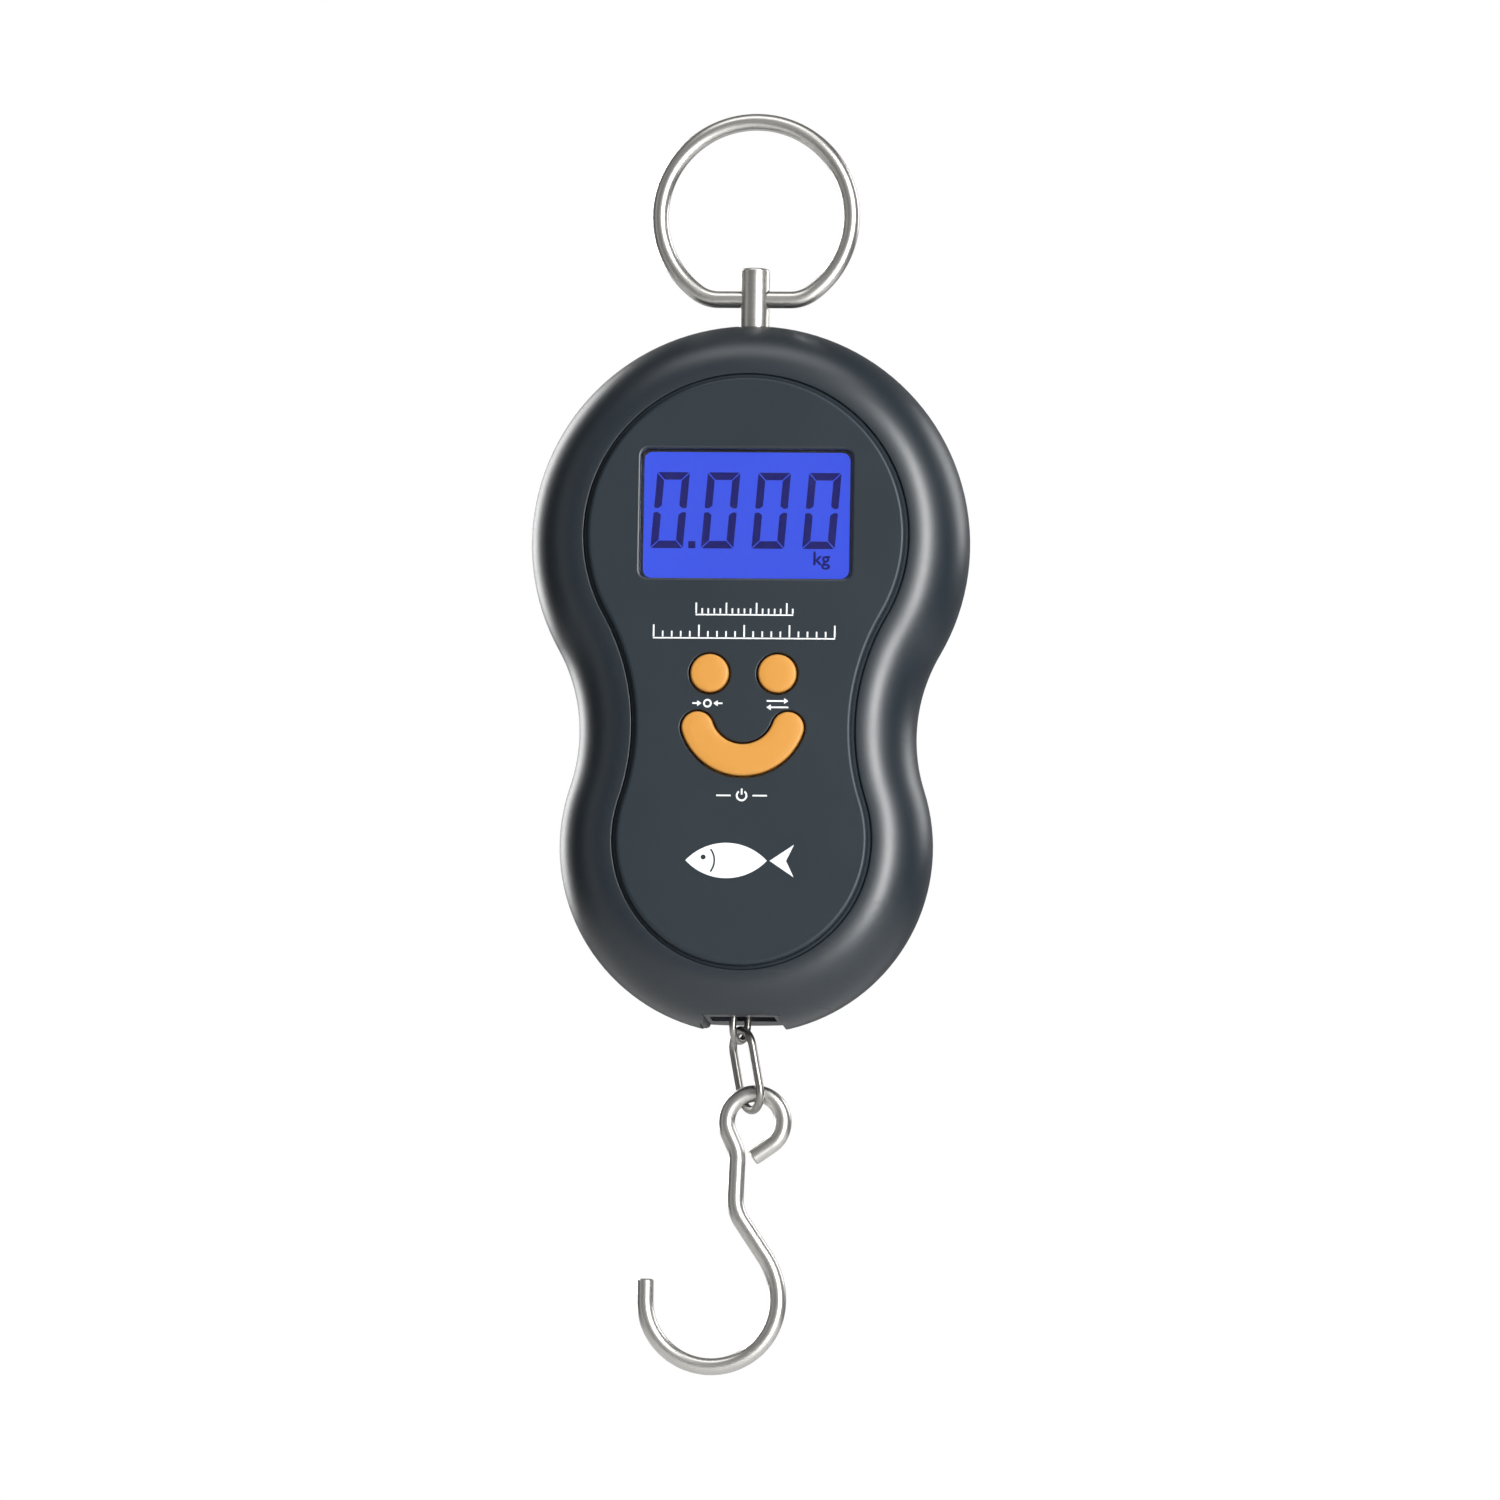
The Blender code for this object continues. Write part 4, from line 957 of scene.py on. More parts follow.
class FISHSCALE_OT_battery_door(bpy.types.Operator):
    """Build the battery door with its grip ridges, arrow and pins."""

    bl_idname = "fish_scale.battery_door"
    bl_label = "Battery door"

    def execute(self, context):
        shell, _ = casing_materials(context.scene.fish_casing)
        low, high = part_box("battery_door")
        half = door_half_width()
        radius = (high.y - low.y) / 2 - 0.01 * MM
        pin = (low.y + radius, high.z - radius)
        ease = 0.15 * MM
        bm = bmesh.new()
        rows = []
        for x, inset in ((-half, ease), (ease - half, 0.0), (half - ease, 0.0), (half, ease)):
            side = arc((low.y + inset + ease, low.z + inset + ease), ease, 270, 180, 4)
            side += arc(pin, radius - inset, 180, 0, 12)
            side += arc((high.y - inset - ease, low.z + inset + ease), ease, 0, -90, 4)
            rows.append([bm.verts.new((x, y, z)) for y, z in side])
        loft(bm, rows)
        fit(new_piece("door_panel", bm, [shell]), "door", "casing", "battery_door")

        shapes = []
        for i in range(DOOR_RIDGES):
            z = low.z + (4.0 + 1.6 * i) * MM
            ridge = rounded_rectangle(-6 * MM, 6 * MM, z - 0.4 * MM, z + 0.4 * MM, 0.39 * MM, 5)
            shapes.append((ridge, ()))
        z = low.z + 13.5 * MM
        point = [(0, z + 5.0 * MM), (-2.6 * MM, z + 2.2 * MM), (-0.9 * MM, z + 2.2 * MM), (-0.9 * MM, z)]
        shapes.append((point + [(-x, z) for x, z in point[:0:-1]], ()))
        front, back = (high.y + reach for reach in DOOR_RELIEF)
        fit(flat_piece("door_ridges", shapes, front, back, shell), "door", "casing")

        for way, name in ((-1, "left"), (1, "right")):
            start, end = way * (half - 0.5 * MM), way * high.x
            points = [(start + (end - start) * i / 4, *pin) for i in range(5)]
            pivot = tube("door_pin_" + name, points, 0.4 * MM, Vector((0, 0, 1)), shell, chamfer=0.08 * MM)
            fit(pivot, "door", "casing")
        return {"FINISHED"}


class FISHSCALE_OT_case_screws(bpy.types.Operator):
    """Build the four cross-head case screws in their wells."""

    bl_idname = "fish_scale.case_screws"
    bl_label = "Case screws"

    def execute(self, context):
        profile = [(0, -6.0), (0.7, -5.4), (1.0, -4.6), (1.0, 4.3), (2.0, 4.3), (2.1, 4.4), (2.1, 5.5)]
        profile += [(2.1 - 0.6 * (1 - math.cos(a)), 5.5 + 0.6 * math.sin(a)) for a in (0.5, 1.0, 1.5)]
        profile += [(0, 6.1)]
        for row in ("upper", "lower"):
            for side in ("left", "right"):
                node = f"case_screw_{row}_{side}"
                low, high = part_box(node)
                x, z = (low.x + high.x) / 2, (low.z + high.z) / 2
                screw = turned(
                    f"screw_{row}_{side}",
                    [(r * MM, y * MM, 0) for r, y in profile],
                    (x, 0, z),
                    [zinc_plate()],
                    axis="Y",
                    steps=32,
                )
                arm, reach = 0.25 * MM, 1.3 * MM
                cross = [
                    rounded_rectangle(x - reach, x + reach, z - arm, z + arm, 0.1 * MM, 2),
                    rounded_rectangle(x - arm, x + arm, z - reach, z + reach, 0.1 * MM, 2),
                ]
                carve(screw, [cutter(outline, 5.2 * MM, 7 * MM) for outline in cross], sharp=30)
                fit(screw, "case", "screw_steel", node)
        return {"FINISHED"}


class FISHSCALE_OT_ring_and_post(bpy.types.Operator):
    """Build the wire ring and the turned post that it runs through."""

    bl_idname = "fish_scale.ring_and_post"
    bl_label = "Ring and post"

    def execute(self, context):
        settings = context.scene.fish_steel
        wire = drawn_wire("bright_wire", settings.wire_colour, settings.wire_roughness)
        corner_x = math.sqrt((RING_R - RING_CORNER_R) ** 2 - (RING_FLAT_DROP - RING_CORNER_R) ** 2)
        corner_z = RING_AXIS_Z + RING_CORNER_R
        meet = math.degrees(math.atan2(corner_z - RING_CENTRE_Z, corner_x))
        outline = (
            arc((corner_x, corner_z), RING_CORNER_R, -90, meet, 12)
            + arc((0, RING_CENTRE_Z), RING_R, meet, 180 - meet, 100)[1:-1]
            + arc((-corner_x, corner_z), RING_CORNER_R, 180 - meet, 270, 12)
        )
        flat = [(-corner_x + 2 * corner_x * i / 8, RING_AXIS_Z) for i in range(1, 8)]
        points = [(x, 0, z) for x, z in outline + flat]
        ring = tube("ring_wire", points, RING_WIRE_R, Vector((0, 1, 0)), wire, closed=True, sides=32)
        fit(ring, "ring", "wire_steel", "hanging_ring")

        lathe_lines = (60.0, 60.0, 5000.0)
        turned_steel = metal("turned_steel", (0.62, 0.61, 0.58), 0.34, lathe_lines, 0.12, relief=0.002 * MM)
        low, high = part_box("top_post")
        radius, shank, bevel = (high.x - low.x) / 2, POST_SHANK_R, 0.5 * MM
        profile = [(0, low.z), (shank - 0.3 * MM, low.z), (shank, low.z + 0.3 * MM), (shank, POST_SHOULDER_Z)]
        profile += [(radius - 0.2 * MM, POST_SHOULDER_Z), (radius, POST_SHOULDER_Z + 0.2 * MM)]
        profile += [(radius - bevel * (1 - c), high.z - bevel * (1 - s)) for c, s in arc((0, 0), 1, 0, 90, 5)]
        profile += [(0, high.z)]
        post = turned("post", [(r, z, 0) for r, z in profile], (0, 0, 0), [turned_steel])
        reach = 4 * MM
        eye = turned_cutter(RING_WIRE_R + 0.3 * MM, (-reach, 0, RING_AXIS_Z), (reach, 0, RING_AXIS_Z), 40)
        carve(post, [eye])
        fit(post, "case", "post_steel", "top_post")
        return {"FINISHED"}


class FISHSCALE_OT_links_and_hook(bpy.types.Operator):
    """Build the two links and the hook."""

    bl_idname = "fish_scale.links_and_hook"
    bl_label = "Links and hook"

    def execute(self, context):
        settings = context.scene.fish_steel
        wire = drawn_wire("bright_wire", settings.wire_colour, settings.wire_roughness)
        # The links' steel is darkened: painted shade under the casing.
        shaded_link_wire = drawn_wire("shaded_link_wire", settings.link_shaded_colour, settings.wire_roughness)
        bodies = {"hanger_link": "hanger", "chain_link": "link"}
        for node, (top, length, width, radius, tilt, twist) in LINKS.items():
            half = width / 2
            flat = arc((0, -half), half, 0, 180, 36) + arc((0, half - length), half, 180, 360, 36)
            place = Matrix.Translation(Vector(top) * MM)
            lean = Matrix.Rotation(math.radians(tilt), 4, "Y")
            place @= lean @ Matrix.Rotation(math.radians(twist), 4, "Z")
            points = [place @ (Vector((u, 0, w)) * MM) for u, w in flat]
            across = (place.to_3x3() @ Vector((0, 1, 0))).normalized()
            name = node.replace("_", "_wire_")
            link = tube(name, points, radius * MM, across, shaded_link_wire, closed=True, sides=20)
            fit(link, bodies[node], "wire_steel", node)
        points = [(x, 0, z) for x, z in bent_wire(HOOK_TIP, -90, HOOK_BENDS)]
        hook = tube("hook_wire", points, HOOK_WIRE_R, Vector((0, 1, 0)), wire, sides=32, chamfer=0.25 * MM)
        fit(hook, "hook", "wire_steel", "hook")
        return {"FINISHED"}


class FISHSCALE_OT_buttons(bpy.types.Operator):
    """Build the two round buttons and the curved one."""

    bl_idname = "fish_scale.buttons"
    bl_label = "Buttons"

    def execute(self, context):
        settings = context.scene.fish_buttons
        soft = moulded("button_plastic", settings.colour, 0.42, grain=7000.0, drift=0.03, relief=0.004 * MM)
        outlines = {
            "tare": lambda grow: round_button_outline(-ROUND_BUTTON_X, grow),
            "unit": lambda grow: round_button_outline(ROUND_BUTTON_X, grow),
            "power": arc_button_outline,
        }
        edge = settings.edge
        crown = 0.1 * MM
        front = BUTTON_FRONT_Y + crown
        stops = [(0.75 * MM, -9.6 * MM), (0.75 * MM, -10.2 * MM), (0.0, -10.2 * MM)]
        stops += [(-along, front + across) for across, along in quarter_round(edge)]
        stops += [(-edge - 0.5 * MM, front - 0.6 * crown), (-edge - 1.1 * MM, front - crown)]
        for name, outline in outlines.items():
            bm = bmesh.new()
            loft(bm, [loop(bm, outline(grow), y) for grow, y in stops])
            button = new_piece(name + "_key_cap", bm, [soft])
            fit(button, name + "_key", "button", name + "_button")
        return {"FINISHED"}


class FISHSCALE_OT_display(bpy.types.Operator):
    """Light the display, draw its digits and put the lens over it."""

    bl_idname = "fish_scale.display"
    bl_label = "Display"

    def execute(self, context):
        settings = context.scene.fish_display
        dress(lit_glass("lit_display", settings.backlight, settings.brightness), "lcd_glass")
        dress(clear_lens(), "display_window")
        ink = lit_glass("display_digits", settings.digits, 1.0)
        glass_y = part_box("lcd_glass")[0].y
        front, back = glass_y - 0.05 * MM, glass_y - 0.01 * MM
        lean = math.tan(settings.slant)
        shapes = []
        middle_x, digit_z = -0.15 * MM, WINDOW_CENTRE_Z + 0.7 * MM
        for place in range(DIGITS):
            centre_x = (place - (DIGITS - 1) / 2) * DIGIT_PITCH + middle_x
            for shape in zero_segments():
                shapes.append(([(centre_x + x + z * lean, digit_z + z) for x, z in shape], ()))
        x, half = -DIGIT_PITCH + middle_x - DIGIT_HEIGHT / 2 * lean, POINT_WIDTH / 2
        z = digit_z - DIGIT_HEIGHT / 2 + half
        shapes.append((rounded_rectangle(x - half, x + half, z - half, z + half, 0.15 * MM, 3), ()))
        fit(flat_piece("display_digits", shapes, front, back, ink), "case", "display")
        unit_place = (11.0 * MM, WINDOW_CENTRE_Z - 8.3 * MM)
        fit(lettering("display_unit", "kg", 3.2 * MM, unit_place, front, back, ink), "case", "display")
        lens_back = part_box("display_window")[1].y
        # A black ring behind the lens, narrower at the bottom: painted shade for the shadow inside the
        # window's recess.
        black = moulded("window_shade_paint", (0.010, 0.011, 0.014), 0.5, relief=0.002 * MM)
        reach_x, reach_z, border = WINDOW_HALF_WIDTH + 0.4 * MM, WINDOW_HALF_HEIGHT + 0.4 * MM, 0.8 * MM
        rims = [
            rounded_rectangle(
                inset - reach_x,
                reach_x - inset,
                WINDOW_CENTRE_Z - reach_z + inset * 0.7,
                WINDOW_CENTRE_Z + reach_z - inset,
                1.4 * MM,
            )
            for inset in (0.0, border)
        ]
        front, back = lens_back + 0.04 * MM, lens_back + 0.08 * MM
        fit(flat_piece("window_painted_shade", [(rims[0], rims[1:])], front, back, black), "case", "display")
        return {"FINISHED"}


def zero_segments():
    """The six lit bars of a nought, as outlines round its centre, with mitred ends."""
    half_w, half_h, thick, gap = DIGIT_WIDTH / 2, DIGIT_HEIGHT / 2, SEGMENT_WIDTH, 0.14 * MM
    waist = 0.42 * MM
    top = [
        (-half_w + gap, half_h),
        (half_w - gap, half_h),
        (half_w - thick - gap / 2, half_h - thick),
        (-half_w + thick + gap / 2, half_h - thick),
    ]
    upright = [
        (half_w, half_h - gap),
        (half_w, waist),
        (half_w - thick / 2, waist - 0.12 * MM),
        (half_w - thick, waist + 0.35 * MM),
        (half_w - thick, half_h - thick - gap),
    ]
    shapes = []
    for flip_z in (1, -1):
        shapes.append([(x, flip_z * z) for x, z in top])
        for flip_x in (1, -1):
            shapes.append([(flip_x * x, flip_z * z) for x, z in upright])
    return shapes


def lettering(name, words, size, place, front, back, material):
    """Raised lettering in the plain built-in face, its foot at place."""
    curve = bpy.data.curves.new(name, "FONT")
    curve.body = words
    curve.size = size
    curve.extrude = (back - front) / 2
    curve.offset = size * 0.018
    text = bpy.data.objects.new(name, curve)
    bpy.context.scene.collection.objects.link(text)
    depsgraph = bpy.context.evaluated_depsgraph_get()
    mesh = bpy.data.meshes.new_from_object(text.evaluated_get(depsgraph))
    bpy.data.objects.remove(text)
    mesh.transform(Matrix.Rotation(math.radians(90), 4, "X"))
    mesh.transform(Matrix.Translation((place[0], (front + back) / 2, place[1])))
    mesh.materials.clear()
    mesh.materials.append(material)
    piece = bpy.data.objects.new(name, mesh)
    bpy.context.scene.collection.objects.link(piece)
    return piece


class FISHSCALE_OT_markings(bpy.types.Operator):
    """Print the white markings: two ruler scales, the buttons' symbols and a fish."""

    bl_idname = "fish_scale.markings"
    bl_label = "Panel markings"

    def execute(self, context):
        ink = moulded("white_ink", (0.80, 0.82, 0.83), 0.55, grain=9000.0, drift=0.1, relief=0.002 * MM)
        front, back = FRONT_FACE_Y - 0.03 * MM, FRONT_FACE_Y + 0.02 * MM
        prints = {
            "upper_ruler": ruler(16, 1.0, -82.2, 2.1),
            "lower_ruler": ruler(20, 1.5, -86.0, 2.3),
            "tare_symbol": tare_symbol(-5.9, -97.9),
            "unit_symbol": unit_symbol(5.7, -97.9),
            "power_symbol": power_symbol(0.0, -113.2),
            "fish_mark": fish_mark(-0.8, -124.0),
        }
        for name, shapes in prints.items():
            in_metres = []
            for outline, holes in shapes:
                sized, *holes = [[(x * MM, z * MM) for x, z in points] for points in (outline, *holes)]
                in_metres.append((sized, holes))
            fit(flat_piece(name, in_metres, front, back, ink), "case", "casing")
        return {"FINISHED"}


def bar(x, z, width, height):
    """A rectangle round (x, z), as an outline with no holes."""
    left, right, low, high = x - width / 2, x + width / 2, z - height / 2, z + height / 2
    return [(left, low), (right, low), (right, high), (left, high)], ()


def ruler(ticks, pitch, z, height):
    """A row of ticks on a base line, every fifth one tall."""
    shapes = [bar(0, z - height / 2 + 0.1, ticks * pitch + 0.2, 0.22)]
    for i in range(ticks + 1):
        tall = height * (1.0 if i % 5 == 0 else 0.55) - 0.3
        shapes.append(bar((i - ticks / 2) * pitch, z - height / 2 + 0.3 + tall / 2, 0.26, tall))
    return shapes


def arrow(x, z, length, way):
    """A small arrow, its middle at (x, z), that points left or right."""
    tip = x + way * length / 2
    tail = x - way * length / 2
    neck = tip - way * 0.7
    outline = [(tail, z + 0.13), (neck, z + 0.13), (neck, z + 0.5), (tip, z)]
    outline += [(neck, z - 0.5), (neck, z - 0.13), (tail, z - 0.13)]
    return outline, ()


def tare_symbol(x, z):
    ring = (circle((x, z), 0.72, 32), (circle((x, z), 0.42, 24),))
    return [ring, arrow(x - 1.75, z, 1.5, 1), arrow(x + 1.75, z, 1.5, -1)]


def unit_symbol(x, z):
    return [arrow(x, z + 0.45, 3.6, 1), arrow(x, z - 0.6, 3.6, -1)]


def power_symbol(x, z):
    """A broken circle with a bar in its gap, between two short lines."""
    band = arc((x, z), 0.95, 125, 415, 32) + arc((x, z), 0.65, 415, 125, 28)
    return [(band, ()), bar(x, z + 0.65, 0.28, 1.0), bar(x - 3.0, z, 2.4, 0.26), bar(x + 3.0, z, 2.4, 0.26)]


def fish_mark(x, z):
    """A plain fish, nose to the left: body with an eye and a gill line, and a tail."""
    bow, half_angle = 9.2, 47.0
    rise = bow * math.cos(math.radians(half_angle))
    upper = arc((x - 1.6, z - rise), bow, 90 - half_angle, 90 + half_angle, 28)
    lower = arc((x - 1.6, z + rise), bow, 270 - half_angle, 270 + half_angle, 28)
    eye = circle((x - 5.4, z + 0.55), 0.42, 20)
    gill = arc((x - 6.6, z), 2.9, -38, 38, 12) + arc((x - 6.6, z), 3.2, 38, -38, 12)
    tail = [(x + 5.6, z), (x + 9.6, z + 2.7), (x + 8.3, z), (x + 9.6, z - 2.7)]
    return [(upper + lower[1:-1], (eye, gill)), (tail, ())]


class FISHSCALE_OT_batteries(bpy.types.Operator):
    """Build the two AAA cells, their springs and the contact plates."""

    bl_idname = "fish_scale.batteries"
    bl_label = "Batteries and contacts"

    def execute(self, context):
        blue = (0.02, 0.10, 0.32)
        jacket = moulded("battery_jacket", blue, 0.28, grain=2000.0, drift=0.12, relief=0.002 * MM)
        band = metal("battery_band", (0.62, 0.63, 0.64), 0.28, (60.0, 60.0, 3000.0), 0.1)
        can = metal("battery_can", (0.72, 0.71, 0.67), 0.3, (400.0, 400.0, 400.0), 0.12)
        nickel = metal("nickel_spring", (0.70, 0.68, 0.62), 0.25, (500.0, 500.0, 500.0), 0.12)
        body, nub = BATTERY_LENGTH, 1.9 * MM
        profile = [
            (0, body + BATTERY_NUB, 2),
            (nub - 0.3 * MM, body + BATTERY_NUB, 2),
            (nub, body + BATTERY_NUB - 0.3 * MM, 2),
            (nub, body + 0.05 * MM, 2),
            (nub + 0.4 * MM, body, 1),
            (BATTERY_R - 0.6 * MM, body, 1),
            (BATTERY_R - 0.15 * MM, body - 0.15 * MM, 1),
            (BATTERY_R, body - 0.6 * MM, 1),
            (BATTERY_R, body * 0.72, 0),
            (BATTERY_R, 0.5 * MM, 0),
            (BATTERY_R - 0.2 * MM, 0.1 * MM, 0),
            (BATTERY_R - 0.9 * MM, 0.0, 2),
            (0, 0, 2),
        ]
        for side, x in (("left", -BATTERY_X), ("right", BATTERY_X)):
            low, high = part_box("battery_" + side)
            cell = turned("cell_" + side, profile, (0, 0, 0), [jacket, band, can])
            turn = Matrix.Rotation(math.pi, 4, "X") if side == "right" else Matrix.Identity(4)
            foot = high.z if side == "right" else low.z
            cell.data.transform(Matrix.Translation((x, BATTERY_Y, foot)) @ turn)
            fit(cell, "case", "battery", "battery_" + side)
        for end, x in (("lower", -BATTERY_X), ("upper", BATTERY_X)):
            node = "battery_spring_" + end
            low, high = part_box(node)
            wide_z, narrow_z = low.z + SPRING_WIRE_R, high.z - SPRING_WIRE_R
            if end == "upper":
                wide_z, narrow_z = narrow_z, wide_z
            points = coil(x, wide_z, narrow_z)
            spring = tube("coil_" + end, points, SPRING_WIRE_R, Vector((0, 0, 1)), nickel, sides=12)
            fit(spring, "case", "contact", node)
        for node in ("contact_positive", "contact_negative", "contact_bridge"):
            fit(self.contact(node, nickel), "case", "contact", node)
        return {"FINISHED"}

    @staticmethod
    def contact(node, material):
        """A stamped plate with rounded corners, its edges eased."""
        low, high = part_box(node)
        bm = bmesh.new()
        ease = 0.06 * MM
        stops = [(ease, low.z), (0, low.z + ease), (0, high.z - ease), (ease, high.z)]
        loops = []
        for inset, z in stops:
            outline = rounded_rectangle(
                low.x + inset, high.x - inset, low.y + inset, high.y - inset, 1.2 * MM - inset, 6
            )
            loops.append([bm.verts.new((x, y, z)) for x, y in outline])
        loft(bm, loops)
        return new_piece(node.replace("contact", "plate"), bm, [material])


def coil(x, wide_z, narrow_z, per_turn=36):
    """Points along a cone-shaped spring, from its wide end to the narrow one at the battery."""
    wide_r, narrow_r = SPRING_R
    points = []
    for i in range(SPRING_TURNS * per_turn + 1):
        share = i / (SPRING_TURNS * per_turn)
        radius = wide_r + (narrow_r - wide_r) * share
        angle = 2 * math.pi * SPRING_TURNS * share
        height = wide_z + (narrow_z - wide_z) * share
        points.append((x + radius * math.cos(angle), BATTERY_Y + radius * math.sin(angle), height))
    return points


class FISHSCALE_OT_inner_parts(bpy.types.Operator):
    """Finish the parts inside the casing, which keep their CAD shapes."""

    bl_idname = "fish_scale.inner_parts"
    bl_label = "Inner parts"

    def execute(self, context):
        black = moulded("black_moulding", (0.012, 0.012, 0.013), 0.45)
        names = list(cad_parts)
        dress(black, "display_frame", "zebra_strip", "processor_blob", "memory_chip")
        dress(black, *[n for n in names if n.endswith(("_switch", "_plunger"))])
        screws = [n for n in names if n.startswith(("board_screw", "load_cell_screw"))]
        dress(zinc_plate(), "post_lock_nut", *screws)
        dress(metal("milled_aluminium", (0.70, 0.71, 0.72), 0.32, (900.0, 900.0, 40.0), 0.14), "load_cell")
        dress(moulded("solder_mask", (0.012, 0.12, 0.045), 0.35, grain=900.0, drift=0.15), "main_board")
        dress(moulded("light_guide", (0.80, 0.84, 0.90), 0.3, grain=1500.0), "backlight_panel")
        film = moulded("gauge_film", (0.55, 0.28, 0.06), 0.35, grain=2500.0)
        dress(film, "strain_gauge_left", "strain_gauge_right")
        sealant = moulded("white_sealant", (0.75, 0.75, 0.70), 0.5, grain=1200.0)
        dress(sealant, "gauge_sealant_left", "gauge_sealant_right")
        sleeves = {
            "red": (0.50, 0.02, 0.02),
            "black": (0.015, 0.015, 0.015),
            "green": (0.02, 0.25, 0.06),
            "white": (0.72, 0.72, 0.70),
        }
        for colour, tone in sleeves.items():
            leads = [n for n in names if n in ("load_cell_wire_" + colour, "battery_lead_" + colour)]
            dress(moulded(colour + "_sleeve", tone, 0.4, grain=3000.0), *leads)
        return {"FINISHED"}


# ---------------------------------------------------------------- studio


def soft_light(name, energy, size, place, target):
    light = bpy.data.lights.new(name, "AREA")
    light.shape = "RECTANGLE"
    light.size, light.size_y = size
    light.energy = energy
    lamp = bpy.data.objects.new(name, light)
    bpy.context.scene.collection.objects.link(lamp)
    lamp.location = place
    lamp.rotation_euler = (Vector(target) - Vector(place)).to_track_quat("-Z", "Y").to_euler()


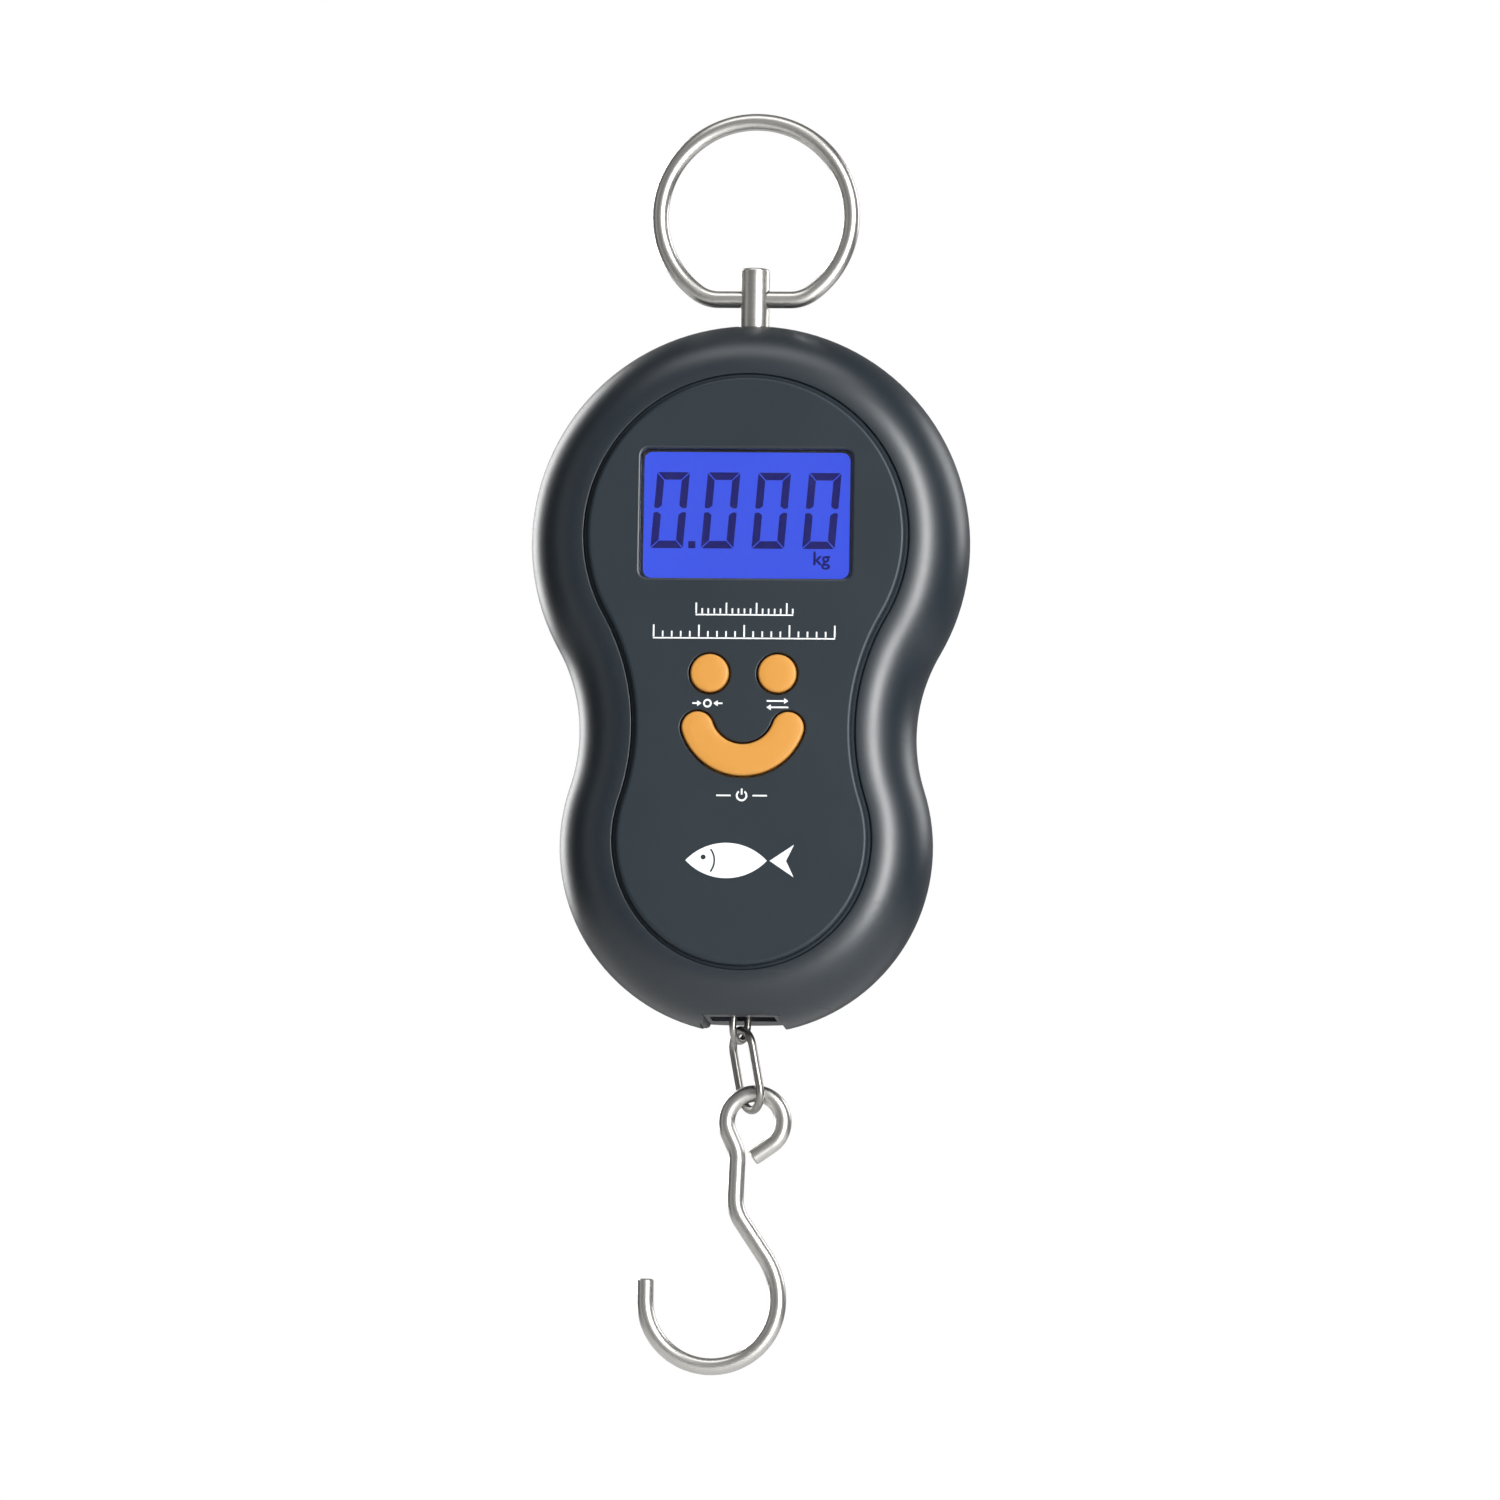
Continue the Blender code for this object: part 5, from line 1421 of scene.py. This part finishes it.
class FISHSCALE_OT_stage(bpy.types.Operator):
    """Set the pale floor, the soft lights and the camera."""

    bl_idname = "fish_scale.stage"
    bl_label = "Studio"

    def execute(self, context):
        scene = context.scene
        settings = scene.fish_studio
        self.make_floor()
        self.make_surroundings(scene)
        aim = Vector(settings.aim)
        soft_light("key_right", 13.0, (0.2, 0.9), (0.56, -0.72, 0.0), aim)
        soft_light("fill_left", 0.4, (0.3, 0.9), (-0.8, -0.45, 0.0), aim)
        soft_light("top", 2.4, (0.8, 0.4), (0.0, -0.35, 0.75), aim)
        soft_light("rear_left", 7.0, (0.4, 0.9), (-0.7, 0.8, 0.2), aim)
        soft_light("rear_right", 3.0, (0.4, 0.6), (0.8, 0.6, 0.3), aim)
        scene.view_settings.view_transform = "Standard"

        camera = bpy.data.cameras.new("camera")
        camera.sensor_width = 36.0
        camera.lens = camera.sensor_width * settings.distance / settings.picture_width
        camera.clip_start = 0.05
        viewer = bpy.data.objects.new("camera", camera)
        scene.collection.objects.link(viewer)
        level = math.cos(settings.elevation)
        back = Vector(
            (
                level * math.sin(settings.azimuth),
                -level * math.cos(settings.azimuth),
                math.sin(settings.elevation),
            )
        )
        viewer.location = aim + settings.distance * back
        turn = (-back).to_track_quat("-Z", "Y").to_matrix() @ Matrix.Rotation(settings.roll, 3, "Z")
        viewer.rotation_euler = turn.to_euler()
        scene.camera = viewer
        return {"FINISHED"}

    @staticmethod
    def make_floor():
        """A pale floor that fades out into the surroundings, and isn't seen from below."""
        material, tree, shader = new_material("floor_paper")
        place = add_node(tree, "ShaderNodeTexCoord").outputs["Object"]
        tree.links.new(spread(tree, noise(tree, place, 900.0), 0.85, 0.95), shader.inputs["Roughness"])
        reach = add_node(tree, "ShaderNodeVectorMath", ((0, place),), operation="LENGTH").outputs["Value"]
        limits = (("Value", reach), ("From Min", 1.1), ("From Max", 0.4))
        fade = add_node(tree, "ShaderNodeMapRange", limits, interpolation_type="SMOOTHSTEP")
        under = add_node(tree, "ShaderNodeNewGeometry").outputs["Backfacing"]
        shown = maths(tree, "MULTIPLY", fade.outputs["Result"], maths(tree, "SUBTRACT", 1.0, under))
        tree.links.new(shown, shader.inputs["Alpha"])
        shader.inputs["Base Color"].default_value = (0.80, 0.80, 0.80, 1.0)
        bm = bmesh.new()
        bm.faces.new([bm.verts.new((x, y, 0)) for x, y in circle((0, 0), 1.2, 96)])
        floor = new_piece("floor", bm, [material], steady=False)
        floor.location.z = CAD_BOX[0].z - 0.14

    @staticmethod
    def make_surroundings(scene):
        """A white background whose reflections are dimmer, most of all at the sides and below."""
        scene.world = bpy.data.worlds.new("studio")
        scene.world.use_nodes = True
        tree = scene.world.node_tree
        way = add_node(tree, "ShaderNodeTexCoord").outputs["Generated"]
        parts = add_node(tree, "ShaderNodeSeparateXYZ", (("Vector", way),)).outputs
        depth = maths(tree, "MULTIPLY", parts["Y"], parts["Y"])
        rise = (("Value", parts["Z"]), ("From Min", -1.0))
        height = add_node(tree, "ShaderNodeMapRange", rise).outputs["Result"]
        level = maths(tree, "MULTIPLY", spread(tree, depth, 0.07, 0.22), spread(tree, height, 0.25, 1.75))
        seen = add_node(tree, "ShaderNodeLightPath").outputs["Is Camera Ray"]
        shade = scaled(tree, (1.0, 1.0, 1.0), maths(tree, "MAXIMUM", level, seen))
        tree.links.new(shade, tree.nodes["Background"].inputs["Color"])


class FISHSCALE_PT_panel(bpy.types.Panel):
    """Buttons and settings for building the scale."""

    bl_idname = "FISHSCALE_PT_panel"
    bl_label = "Fish scale"
    bl_space_type = "VIEW_3D"
    bl_region_type = "UI"
    bl_category = "Fish scale"

    def draw(self, context):
        layout = self.layout
        for group in SETTINGS:
            box = layout.box()
            settings = getattr(context.scene, group)
            box.label(text=group.removeprefix("fish_").capitalize())
            for key in settings.bl_rna.properties.keys():
                if key not in ("rna_type", "name"):
                    box.prop(settings, key)
        for operator in OPERATORS:
            layout.operator(operator.bl_idname)


SETTINGS = {
    "fish_casing": CasingSettings,
    "fish_buttons": ButtonSettings,
    "fish_display": DisplaySettings,
    "fish_steel": SteelSettings,
    "fish_studio": StudioSettings,
}
OPERATORS = (
    FISHSCALE_OT_front_cover,
    FISHSCALE_OT_rear_cover,
    FISHSCALE_OT_battery_door,
    FISHSCALE_OT_case_screws,
    FISHSCALE_OT_ring_and_post,
    FISHSCALE_OT_links_and_hook,
    FISHSCALE_OT_buttons,
    FISHSCALE_OT_display,
    FISHSCALE_OT_markings,
    FISHSCALE_OT_batteries,
    FISHSCALE_OT_inner_parts,
    FISHSCALE_OT_stage,
)
CLASSES = (*SETTINGS.values(), *OPERATORS, FISHSCALE_PT_panel)


def register():
    for cls in CLASSES:
        bpy.utils.register_class(cls)
    for name, cls in SETTINGS.items():
        setattr(bpy.types.Scene, name, bpy.props.PointerProperty(type=cls))


def unregister():
    for name in SETTINGS:
        delattr(bpy.types.Scene, name)
    for cls in reversed(CLASSES):
        bpy.utils.unregister_class(cls)


def main():
    register()
    for operator in OPERATORS:
        name = operator.bl_idname.split(".")[1]
        if getattr(bpy.ops.fish_scale, name)() != {"FINISHED"}:
            raise RuntimeError(f"{operator.bl_label} wasn't finished")


if __name__ == "__main__":
    main()
